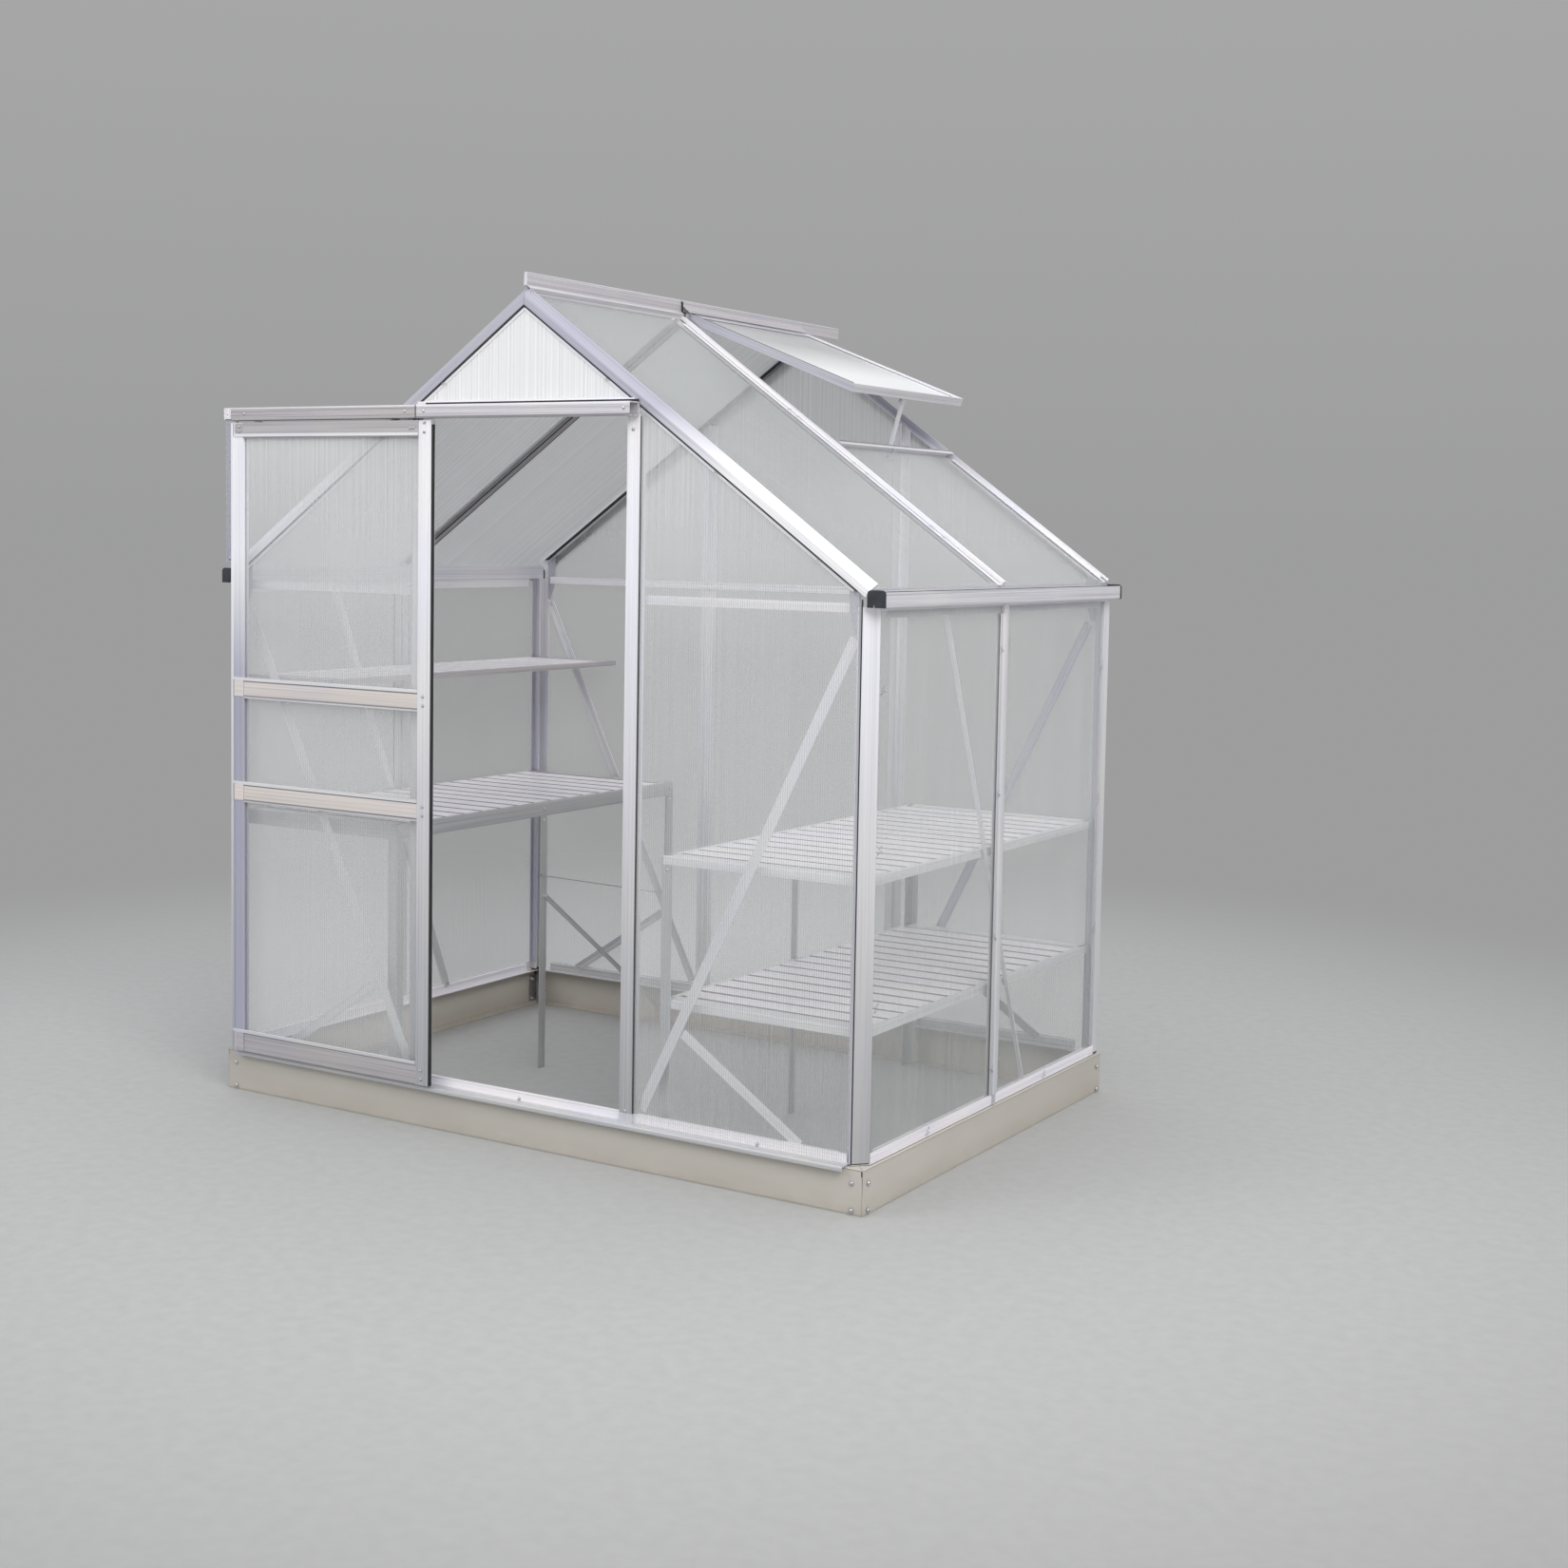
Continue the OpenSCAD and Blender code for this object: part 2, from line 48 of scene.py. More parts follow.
HALF = FRONT_HI.x
BASE_H = FRONT_HI.z
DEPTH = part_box("base_back")[1].y / MM - Y0
MID = DEPTH / 2
EAVE = 1331.0
# where the planes of the two slopes meet, and the slope's angle and length
RIDGE_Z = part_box("ridge")[1].z / MM - 30
ROOF_ANGLE = math.radians(35)
COS_R, SIN_R, TAN_R = math.cos(ROOF_ANGLE), math.sin(ROOF_ANGLE), math.tan(ROOF_ANGLE)
RAFTER_L = (HALF - 5) / COS_R
# sheets: thickness, rib pitch, and how far they lie in from the plinth's face and under the slope
SHEET, RIB_PITCH = 4.0, 6.0
SHEET_IN, SHEET_DROP = 8.5, 14.0
# heights of the ledge that the wall sheets stand on and of the sill's top
LEDGE, SILL_TOP = 108.5, 130.0
# from each corner: the post's width, and where the sills' full section starts
POST_W, BAR_END = 45.0, 74.0
# out from the middle: a jamb's inner and outer face, and the middle of a back bar
JAMB, JAMB_OUT = 304.0, 338.0
BACK_BAR = JAMB + 18
# the door's head rail: its foot and top, the top of the plate over it, its free end and its joint
TRACK_Z0 = RIDGE_Z - 310
TRACK_Z1 = TRACK_Z0 + 32
HEADER_Z = TRACK_Z0 + 39
TRACK_X0, TRACK_JOINT = -937.0, -294
DOOR_X0, DOOR_X1 = -921.0, -254.0
DOOR_FACE = -30.0
DOOR_Z0, DOOR_Z1 = 114.0, TRACK_Z0 - 5
RAILS = [(DOOR_Z0, 166.0), (771.0, 815.0), (1040.0, 1084.0), (DOOR_Z1 - 34, DOOR_Z1)]
# the open vent: its angle, length, ends and hinge, its sill down the slope, and its stay
VENT_ANGLE = math.radians(20.8)
VENT_L = 535.0
VENT_Y0, VENT_Y1 = MID + 13.5, DEPTH - 38
HINGE_X, HINGE_Z = 13.0, RIDGE_Z - 24
VENT_SILL = 586.0
STAY_Y = DEPTH - 342
# staging: heights, ends, widths, and how far it stands in from the plinth's face
BENCH_Z, TRAY_Z, SHELF_Z = 738.0, 402.0, 1091.0
BENCH_Y0, BENCH_Y1 = 42.0, DEPTH - 42
BENCH_IN = 27.0
LEFT_W, RIGHT_W, SHELF_W = 518.0, 548.0, 300.0
SLAT_STEPS = 16


# ---- materials ----
class Graph:
    """The nodes of a material or of the world, with short ways to add to them."""

    def __init__(self, tree):
        self.nodes, self.links = tree.nodes, tree.links

    def put(self, value, socket):
        """Sets a number, a colour or a scale, or links an output."""
        if isinstance(value, (int, float)):
            socket.default_value = value
        elif isinstance(value, tuple):
            socket.default_value = (*value, 1)[:len(socket.default_value)]
        else:
            self.links.new(value, socket)

    def node(self, kind, inputs, out=0, **settings):
        """Adds a node, sets or links its inputs, and gives back one of its outputs."""
        node = self.nodes.new("ShaderNode" + kind)
        for name, value in settings.items():
            setattr(node, name, value)
        for name, value in inputs.items():
            self.put(value, node.inputs[name])
        return node.outputs[out]

    def place(self, kind="Object"):
        return self.node("TexCoord", {}, kind)

    def grain(self):
        """The piece's own grain: along its run first, then across it."""
        return self.node("Attribute", {}, "Vector", attribute_name="grain")

    def noise(self, source, scale, detail):
        mapped = self.node("Mapping", {"Vector": source, "Scale": scale}, "Vector")
        return self.node("TexNoise", {"Vector": mapped, "Scale": 1.0, "Detail": detail}, "Fac")

    def ramp(self, value, *stops):
        node = self.nodes.new("ShaderNodeValToRGB")
        while len(node.color_ramp.elements) < len(stops):
            node.color_ramp.elements.new(0.5)
        for element, (position, colour) in zip(node.color_ramp.elements, stops):
            element.position = position
            element.color = (*colour, 1)
        self.put(value, node.inputs["Fac"])
        return node.outputs["Color"]

    def spread(self, value, low, high, start=0.3, end=0.7, kind="LINEAR"):
        """Turns a value that goes from start to end into one that goes from low to high."""
        limits = {"From Min": start, "From Max": end, "To Min": low, "To Max": high}
        return self.node("MapRange", {"Value": value, **limits}, "Result", interpolation_type=kind)

    def height(self, place):
        return self.node("SeparateXYZ", {0: place}, "Z")

    def climb(self, place, low, high, z0, z1):
        """Goes from low to high between two heights in metres."""
        return self.spread(self.height(place), low, high, z0, z1)

    def mix(self, factor, a, b, kind="MIX"):
        return self.node("Mix", {0: factor, 6: a, 7: b}, 2, data_type="RGBA", blend_type=kind)

    def tinted(self, tone, tint):
        return self.mix(1.0, tone, tint, "MULTIPLY")

    def calc(self, operation, a, b, clamp=False):
        return self.node("Math", {0: a, 1: b}, operation=operation, use_clamp=clamp)


class Surface(Graph):
    """A new material and its shader."""

    def __init__(self, name):
        self.material = bpy.data.materials.new(name)
        self.material.use_nodes = True
        super().__init__(self.material.node_tree)
        self.bsdf = self.nodes["Principled BSDF"]

    def set(self, name, value):
        self.put(value, self.bsdf.inputs[name])

    def bump(self, height, strength, distance):
        inputs = {"Strength": strength, "Distance": distance, "Height": height}
        self.set("Normal", self.node("Bump", inputs, "Normal"))


def metal(name, dark, light, metallic, painted_shade=None, rough=0.42, drawn=True):
    """Fine streaks along the run and slow patches. The height tint gives two heights in metres and the tint
    at each, a painted shade that the colour fades into between them. Metal that isn't drawn has specks, not
    streaks."""
    m = Surface(name)
    if drawn:
        streak = m.noise(m.grain(), (1.4, 230, 230), 4.0)
    else:
        streak = m.noise(m.place(), (160, 160, 160), 4.0)
    place = m.place()
    patch = m.noise(place, (5, 5, 3), 2.0)
    glint = tuple(min(1, c * 1.05) for c in light)
    tone = m.ramp(streak, (0.28, dark), (0.52, light), (0.8, glint))
    tone = m.tinted(tone, m.ramp(patch, (0.35, (0.95, 0.945, 1.0)), (0.62, (1.0, 0.985, 0.985))))
    # painted shade: the tone darkens between the two heights, toward the foot on most pieces and toward the
    # ridge on the rafters
    if painted_shade:
        z0, low, z1, high = painted_shade
        climb = m.climb(place, 0.0, 1.0, z0, z1)
        tone = m.tinted(tone, m.ramp(climb, (0.0, low), (1.0, high)))
    m.set("Base Color", tone)
    m.set("Roughness", m.spread(streak, rough - 0.07, rough + 0.09))
    m.set("Metallic", metallic)
    m.bump(streak, 0.12, 0.0004)
    return m.material


def sheet_plastic(name, colour, clear, grazing, lines, rough=0.2, smear=0.1, painted_light_by_height=(1.0, 1.0),
                  rise=(0.5, 1.5), fine=150, painted_shade_top=None):
    """Clear plastic, mostly see-through and whiter at a flat angle, with soft smears and with lines
    along its flutes. The density factor says how dense it is at the two heights in rise, in metres: painted
    light and reflection, denser and whiter higher up. The top grey gives two heights and the grey that the
    colour
    fades to between them: painted shade under the ridge."""
    m = Surface(name)
    grain = m.grain()
    place = m.place()
    bands = m.noise(grain, (0.04, fine, 0), 2.0)
    cloud = m.noise(place, (1.3, 1.3, 0.9), 3.0)
    tone = m.ramp(bands, (0.32, tuple(c * (1 - lines / 2) for c in colour)), (0.66, colour))
    # painted shade: the colour greys between the two heights
    if painted_shade_top:
        z0, z1, grey = painted_shade_top
        climb = m.climb(place, 0.0, 1.0, z0, z1)
        tone = m.tinted(tone, m.ramp(climb, (0.0, WHITE), (1.0, grey)))
    m.set("Base Color", tone)
    facing = m.node("LayerWeight", {"Blend": 0.4}, "Facing")
    alpha = m.spread(facing, clear, grazing, 0.2, 1.0)
    smears = m.spread(cloud, 1 - smear, 1 + smear, 0.35, 0.65)
    stripes = m.spread(bands, 1 - lines, 1 + lines, 0.35, 0.65)
    # painted light and reflection: the sheet grows denser, and so whiter, with height
    for factor in (smears, stripes, m.climb(place, *painted_light_by_height, *rise)):
        alpha = m.calc("MULTIPLY", alpha, factor, True)
    m.set("Alpha", alpha)
    m.set("Roughness", m.spread(cloud, rough - 0.03, rough + 0.05))
    m.set("IOR", 1.58)
    return m.material


def plastic(name, dark, light, rough, fine=900.0, strength=0.12):
    """Moulded plastic or rubber with a fine grain and slow shading."""
    m = Surface(name)
    place = m.place()
    pores = m.noise(place, (fine, fine, fine), 2.0)
    slow = m.noise(place, (25, 25, 25), 3.0)
    m.set("Base Color", m.ramp(slow, (0.3, dark), (0.7, light)))
    m.set("Roughness", m.spread(slow, rough - 0.06, rough + 0.1))
    m.bump(pores, strength, 0.0003)
    return m.material


def plinth_paint():
    """Satin coating: even, with slow shading, faint dust along its foot and fine orange peel."""
    m = Surface("plinth_paint")
    place = m.place()
    slow = m.noise(place, (3, 3, 9), 3.0)
    peel = m.noise(place, (420, 420, 420), 2.0)
    specks = m.noise(place, (16, 16, 30), 4.0)
    dust = m.calc("MULTIPLY", m.climb(place, 0.55, 0.0, 0.0, 0.05), specks)
    tone = m.ramp(slow, (0.3, (0.51, 0.48, 0.43)), (0.7, (0.565, 0.535, 0.485)))
    m.set("Base Color", m.mix(dust, tone, (0.36, 0.31, 0.24)))
    m.set("Roughness", m.spread(slow, 0.42, 0.56))
    m.bump(peel, 0.1, 0.0004)
    return m.material


WHITE = (1.0, 1.0, 1.0)
# painted shade by height, each given as a low height, its tint, a high height and its tint: darker toward the
# foot, and for the peak toward the ridge
PAINTED_SHADE_FOOT = (0.15, (0.72, 0.73, 0.71), 1.45, WHITE)
PAINTED_MILD_SHADE_FOOT = (0.15, (0.76, 0.77, 0.76), 1.45, WHITE)
PAINTED_SHADE_LOW = (0.15, (0.48, 0.485, 0.48), 1.4, WHITE)
PAINTED_LILAC_SHADE_LOW = (1.05, (0.47, 0.475, 0.55), 1.42, WHITE)
PAINTED_SHADE_PEAK = (1.60, WHITE, 1.77, (0.50, 0.50, 0.56))
# The mill aluminium in copies that differ only in lightness and tint, each for the pieces where that much
# light or shade falls. The bright, sill and warm copies are painted light; the sloped, upright and stile
# copies are painted light with painted shade toward one end; the shaded, lilac, dim and soft copies are
# painted shade.
MILL = metal("mill_aluminium", (0.66, 0.655, 0.69), (0.89, 0.885, 0.91), 0.42, PAINTED_SHADE_FOOT)
MILL_BRIGHT = metal("mill_bright", (0.78, 0.775, 0.80), (0.94, 0.935, 0.95), 0.3, PAINTED_MILD_SHADE_FOOT)
MILL_GREY = metal("mill_shaded", (0.44, 0.42, 0.43), (0.62, 0.595, 0.60), 0.5, rough=0.38)
MILL_LILAC = metal("mill_lilac", (0.44, 0.44, 0.49), (0.60, 0.60, 0.66), 0.5, rough=0.38)
MILL_DIM = metal("mill_dim", (0.26, 0.25, 0.26), (0.36, 0.35, 0.36), 0.45)
MILL_PALE = metal("mill_sill", (0.78, 0.76, 0.78), (0.95, 0.93, 0.945), 0.15)
MILL_SLOPED = metal("mill_sloped", (0.78, 0.775, 0.795), (0.97, 0.965, 0.98), 0.15, PAINTED_SHADE_PEAK)
MILL_UPRIGHT = metal("mill_upright", (0.84, 0.835, 0.86), (0.97, 0.965, 0.98), 0.15, PAINTED_SHADE_LOW)
MILL_STILE = metal("mill_stile", (0.82, 0.82, 0.85), (0.96, 0.96, 0.98), 0.15, PAINTED_LILAC_SHADE_LOW)
MILL_WARM = metal("mill_warm", (0.72, 0.67, 0.63), (0.88, 0.82, 0.78), 0.3, rough=0.4)
MILL_SOFT = metal("mill_soft", (0.55, 0.54, 0.56), (0.75, 0.735, 0.75), 0.42)
DULL = metal("staging_aluminium", (0.42, 0.43, 0.43), (0.58, 0.585, 0.585), 0.7)
STEEL = metal("zinc_steel", (0.42, 0.42, 0.44), (0.68, 0.68, 0.7), 0.9, rough=0.32, drawn=False)
# The twin-wall sheet in copies that differ in colour and density by wall. The roof and side walls' grey is
# painted shade and reflection, the gable's and vent's near-opaque white is painted reflection, and the
# whiteness of the left roof and back is painted light coming through the sheets.
SKIN = sheet_plastic("sheet_skin", (0.92, 0.925, 0.935), 0.12, 0.36, 0.13, smear=0.2,
                     painted_light_by_height=(0.85, 3.2), rise=(1.2, 1.75))
SKIN_SIDE = sheet_plastic("sheet_skin_side", (0.66, 0.675, 0.67), 0.10, 0.26, 0.16, smear=0.2,
                          painted_light_by_height=(0.8, 1.4))
SKIN_BACK = sheet_plastic("sheet_skin_back", (0.97, 0.975, 0.98), 0.12, 0.36, 0.1,
                          painted_light_by_height=(0.8, 5.0), rise=(1.3, 1.8))
SKIN_ROOF = sheet_plastic("sheet_skin_roof", (0.47, 0.485, 0.49), 0.12, 0.38, 0.2, rough=0.34, smear=0.2)
SKIN_LEFT = sheet_plastic("sheet_skin_bright", (0.90, 0.91, 0.92), 0.34, 0.7, 0.15)
SKIN_GABLE = sheet_plastic("sheet_skin_gable", (0.975, 0.975, 0.985), 0.82, 0.94, 0.1, rough=0.25,
                           smear=0.05, fine=170)
SKIN_VENT = sheet_plastic("sheet_skin_vent", (0.97, 0.975, 0.98), 0.5, 0.97, 0.12, rough=0.25,
                          painted_light_by_height=(1.0, 1.2), painted_shade_top=(1.90, 1.99, (0.5, 0.5, 0.5)))
RIB = sheet_plastic("sheet_rib", (0.90, 0.92, 0.92), 0.07, 0.2, 0.3, rough=0.25, painted_light_by_height=(0.9, 1.1))
BLACK = plastic("cap_plastic", (0.022, 0.025, 0.03), (0.045, 0.05, 0.06), 0.45)
ROLLER = plastic("roller_plastic", (0.02, 0.02, 0.022), (0.04, 0.04, 0.042), 0.4)
RUBBER = plastic("seal_rubber", (0.012, 0.012, 0.013), (0.03, 0.03, 0.032), 0.6, 600.0, 0.2)
PAINT = plinth_paint()
# what a piece is made of, and which lit or shaded copy of it; a solid says which by its place in the list,
# where 0 is the plain metal
METALS = [MILL, MILL_BRIGHT, MILL_GREY, STEEL, RUBBER, MILL_LILAC, MILL_DIM, MILL_UPRIGHT, MILL_STILE,
          MILL_WARM, MILL_SOFT]
SILL_METALS = [MILL, MILL_PALE, MILL_GREY, STEEL, RUBBER]
STAGING_METALS = [DULL, MILL_BRIGHT, MILL_GREY, STEEL, MILL_PALE, MILL_DIM]
BRIGHT, SHADED, ZINC, SEAL, LILAC, DIM, UPRIGHT, STILE, WARM, SOFT = range(1, 11)
# the slats take the pale copy, painted light, and their lips the dim one, painted shade in the gaps between
# them
SLAT, SLAT_LIP = 4, 5


# ---- solids ----
X, Y, Z = Vector((1, 0, 0)), Vector((0, 1, 0)), Vector((0, 0, 1))
# the copies of a solid: as drawn, or mirrored left and right (first) or front and back (second)
ONE, LEFT, BACK, BACK_LEFT = [(1, 1)], [(-1, 1)], [(1, -1)], [(-1, -1)]
SIDES = ONE + LEFT
BACK_SIDES = BACK + BACK_LEFT
CORNERS = SIDES + BACK_SIDES


class Run:
    """Where a profile is drawn, with axes u and v, and the direction w that it runs in."""

    def __init__(self, u, v, w, origin=(0, 0, 0)):
        self.u, self.v, self.w, self.origin = Vector(u), Vector(v), Vector(w), Vector(origin)
        self.flip = self.u.cross(self.v).dot(self.w) < 0

    def at(self, u, v, w):
        return self.origin + self.u * u + self.v * v + self.w * w


ALONG_X = Run(Y, Z, X)
ALONG_Y = Run(X, Z, Y)
ALONG_Z = Run(X, Y, Z)
# in from the right wall's plinth face, and along the wall or up
RIGHT_Y = Run(-X, Z, Y, (HALF, 0, 0))
RIGHT_Z = Run(-X, Y, Z, (HALF, 0, 0))
# drawn along y and out of the roof, and run down the right slope; or drawn down it and run along y
SLOPE = Run(Y, (SIN_R, 0, COS_R), (COS_R, 0, -SIN_R), (0, 0, RIDGE_Z))
SLOPE_Y = Run(SLOPE.w, SLOPE.v, Y, SLOPE.origin)
# the open vent, with its normal and the way down it
VENT_N = Vector((math.sin(VENT_ANGLE), 0, math.cos(VENT_ANGLE)))
VENT_D = Vector((math.cos(VENT_ANGLE), 0, -math.sin(VENT_ANGLE)))
VENT = Run(Y, VENT_N, VENT_D, (HINGE_X, 0, HINGE_Z))


def area(profile):
    """The area inside a profile, above 0 when its points turn left."""
    total = 0
    for i, (a, b) in enumerate(profile):
        c, d = profile[(i + 1) % len(profile)]
        total += a * d - b * c
    return total / 2


def soften(profile, r):
    """Takes the corners off a closed profile."""
    out = []
    n = len(profile)
    for i, p in enumerate(profile):
        p = Vector(p)
        ways = [Vector(profile[i - 1]) - p, Vector(profile[(i + 1) % n]) - p]
        cut = min(r, *[way.length * 0.4 for way in ways])
        out += [tuple(p + way.normalized() * cut) for way in ways]
    return out


def rect(u0, v0, u1, v1):
    return [(u0, v0), (u1, v0), (u1, v1), (u0, v1)]


def arc(cu, cv, r, start, step, n):
    """The n + 1 points of an arc round a centre; its start and steps are in degrees."""
    turns = [math.radians(start + step * k) for k in range(n + 1)]
    return [(cu + r * math.cos(t), cv + r * math.sin(t)) for t in turns]


def grooved(a, b, places, depth, width=1.6):
    """The points of a straight edge from a to b with square grooves to its left."""
    a, b = Vector(a), Vector(b)
    d = (b - a).normalized()
    n = Vector((-d.y, d.x)) * depth
    out = [tuple(a)]
    for s in places:
        p, q = a + d * (s - width / 2), a + d * (s + width / 2)
        out += [tuple(p), tuple(p + n), tuple(q + n), tuple(q)]
    out.append(tuple(b))
    return out


class Solids:
    """The closed solids of one piece, each with all its copies."""

    def __init__(self, copies=ONE):
        self.copies = copies
        self.verts, self.faces, self.mats, self.grain, self.smooth = [], [], [], [], []
        self.count = 0

    def add(self, points, faces, grain, mat=0, smooth=False):
        """Adds a solid. Each copy's grain is moved on, so that no two copies have the same marks."""
        for sx, sy in self.copies:
            self.count += 1
            base = len(self.verts)
            shift = Vector((0.731 * self.count, 0.193 * self.count, 0.057 * self.count))
            for p, g in zip(points, grain):
                self.verts.append((sx * p[0], p[1] if sy > 0 else DEPTH - p[1], p[2]))
                self.grain.append(Vector(g) * MM + shift)
            for f in faces:
                f = [base + i for i in f]
                self.faces.append(f if sx * sy > 0 else f[::-1])
                self.mats.append(mat)
                self.smooth.append(smooth)

    def prism(self, profile, run, a, b, mat=0, r=0.3, flat=False):
        """Runs a profile from a to b; a and b are lengths, or functions of the profile's point. r is
        cut off the corners. flat turns the grain along the profile's second axis, as in a sheet."""
        pts = soften(profile, r) if r else list(profile)
        if area(pts) < 0:
            pts.reverse()
        n = len(pts)
        points, grain = [], []
        for end in (a, b):
            for u, v in pts:
                w = end(u, v) if callable(end) else end
                points.append(run.at(u, v, w))
                grain.append((v, u, w) if flat else (w, u, v))
        faces = [list(range(n))[::-1], list(range(n, 2 * n))]
        faces += [[i, (i + 1) % n, n + (i + 1) % n, n + i] for i in range(n)]
        if run.flip:
            faces = [f[::-1] for f in faces]
        self.add(points, faces, grain, mat)

    def box(self, a, b, mat=0):
        """A block that runs along its longest side."""
        size = [b[i] - a[i] for i in range(3)]
        k = size.index(max(size))
        run = (ALONG_X, ALONG_Y, ALONG_Z)[k]
        i, j = [(1, 2), (0, 2), (0, 1)][k]
        self.prism(rect(a[i], a[j], b[i], b[j]), run, a[k], b[k], mat, 0.5)

    def tube(self, points, n, at, mat, flip=False):
        """Joins rings of n points each and closes both ends; flip is for rings that turn right."""
        faces = []
        for i in range(0, len(points) - n, n):
            for k in range(n):
                a, b = i + k, i + (k + 1) % n
                faces.append([b, a, a + n, b + n] if flip else [a, b, b + n, a + n])
        first, last = list(range(n)), list(range(len(points) - n, len(points)))
        faces += [first, last[::-1]] if flip else [first[::-1], last]
        self.add(points, faces, [(p - at) for p in points], mat, True)

    def lathe(self, profile, at, axis, n, mat=0):
        """Turns (radius, height) points round an axis; the first and last close it."""
        axis = Vector(axis).normalized()
        side = axis.orthogonal().normalized()
        other = axis.cross(side)
        at = Vector(at)
        points = []
        for radius, height in profile:
            for k in range(n):
                t = 2 * math.pi * k / n
                points.append(at + axis * height + (side * math.cos(t) + other * math.sin(t)) * radius)
        self.tube(points, n, at, mat)

    def bolt(self, at, axis, r, rise=1.0, mat=ZINC):
        """A domed head on a washer; rise flattens it."""
        dome = [(1.45, -0.4), (1.45, 0.9), (1.05, 1.0), (1.0, 1.3), (0.95, 2.2), (0.7, 3.1), (0.3, 3.5)]
        self.lathe([(r * a, h * rise) for a, h in dome], at, axis, 14, mat)

    def nut(self, at, axis, r):
        """A washer, a hexagon nut and the bolt's end in it."""
        self.lathe([(r * 1.4, -0.4), (r * 1.4, 0.8), (r * 1.3, 0.9)], at, axis, 14)
        self.lathe([(r * 1.1, 0.7), (r * 1.1, 4.2), (r * 0.9, 4.8)], at, axis, 6)
        self.lathe([(r * 0.5, 4.6), (r * 0.5, 7.0), (r * 0.35, 7.6)], at, axis, 10)

    def wire(self, path, r, mat=ZINC, n=6):
        """A round wire through a line of points, bent sharp at each."""
        path = [Vector(p) for p in path]
        points = []
        up = Vector((0.31, 0.17, 0.93)).normalized()
        for i, p in enumerate(path):
            before = (p - path[i - 1]).normalized() if i else (path[1] - p).normalized()
            after = (path[i + 1] - p).normalized() if i < len(path) - 1 else before
            d = (before + after).normalized()
            side = d.cross(up).normalized()
            other = d.cross(side)
            for k in range(n):
                t = 2 * math.pi * k / n
                points.append(p + side * math.cos(t) * r + other * math.sin(t) * r)
        self.tube(points, n, path[0], mat, True)

    def clip(self, at, along, out, side, size=1.0):
        """The spring clip that holds a sheet to its bar, bent from one wire into a Z."""
        at, along, out, side = Vector(at), Vector(along), Vector(out), Vector(side)
        path = [(-13, 0.6, -9), (-9, 1.2, -9), (-4, 3.4, 8), (4, 3.4, -8), (9, 1.2, 9), (13, 0.6, 9)]
        self.wire([at + along * (a * size) + out * b + side * (c * size) for a, b, c in path], 0.95)

    def strip(self, p, q, face, width, mat=0, leg=0.0):
        """A flat bar from p to q, bolted at its ends, its back on the plane through them. face points
        away from that plane, and leg is the depth of a second flange behind the bar."""
        p, q, face = Vector(p), Vector(q), Vector(face)
        d = (q - p).normalized()
        run = Run(face.cross(d), face, d, p)
        half, thick, length = width / 2, 2.0, (q - p).length
        groove = [(half * 0.35, thick), (half * 0.2, thick - 0.5)]
        groove += [(-half * 0.2, thick - 0.5), (-half * 0.35, thick)]
        self.prism([(-half, 0), (half, 0), (half, thick)] + groove + [(-half, thick)], run, 0, length, mat)
        if leg:
            self.prism(rect(-half, -leg, 2 - half, 0), run, 0, length, mat)
        for end in (p + d * 9, q - d * 9):
            self.bolt(end + face * thick, face, 3.4)


def in_scene(name, data):
    obj = bpy.data.objects.new(name, data)
    bpy.context.scene.collection.objects.link(obj)
    return obj


def piece(name, solids, *replaced, body="shell", slot="mill_aluminium", mats=METALS):
    """Makes the solids one object, which stands in for the CAD nodes that are named."""
    mesh = bpy.data.meshes.new(name)
    mesh.from_pydata([(x * MM, (y + Y0) * MM, z * MM) for x, y, z in solids.verts], [], solids.faces)
    attribute = mesh.attributes.new("grain", "FLOAT_VECTOR", "POINT")
    attribute.data.foreach_set("vector", [c for g in solids.grain for c in g])
    mesh.polygons.foreach_set("material_index", solids.mats)
    mesh.polygons.foreach_set("use_smooth", solids.smooth)
    if any(solids.smooth):
        mesh.set_sharp_from_angle(angle=math.radians(38))
    for m in mats:
        mesh.materials.append(m)
    obj = in_scene(name, mesh)
    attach(obj, body)
    if replaced:
        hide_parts(*replaced)


# ---- plinth ----
def plinth_section(z0, z1, top, foot):
    """A length of folded channel between two heights, with a flange where it is asked for."""
    thick, r, flange = 2.0, 3, 35
    outer, inner = [], []
    if foot:
        outer += [(flange, 0)] + arc(r, r, r, 270, 22.5, 4)[::-1]
        inner += [(flange, thick), (3.2, thick), (thick, 3.2)]
    else:
        outer += [(0, z0)]
        inner += [(thick, z0)]
    if top:
        outer += arc(r, z1 - r, r, 180, 22.5, 4)[::-1] + [(flange, z1)]
        inner += [(thick, z1 - 3.2), (3.2, z1 - thick), (flange, z1 - thick)]
    else:
        outer += [(0, z1)]
        inner += [(thick, z1)]
    return outer + inner[::-1]


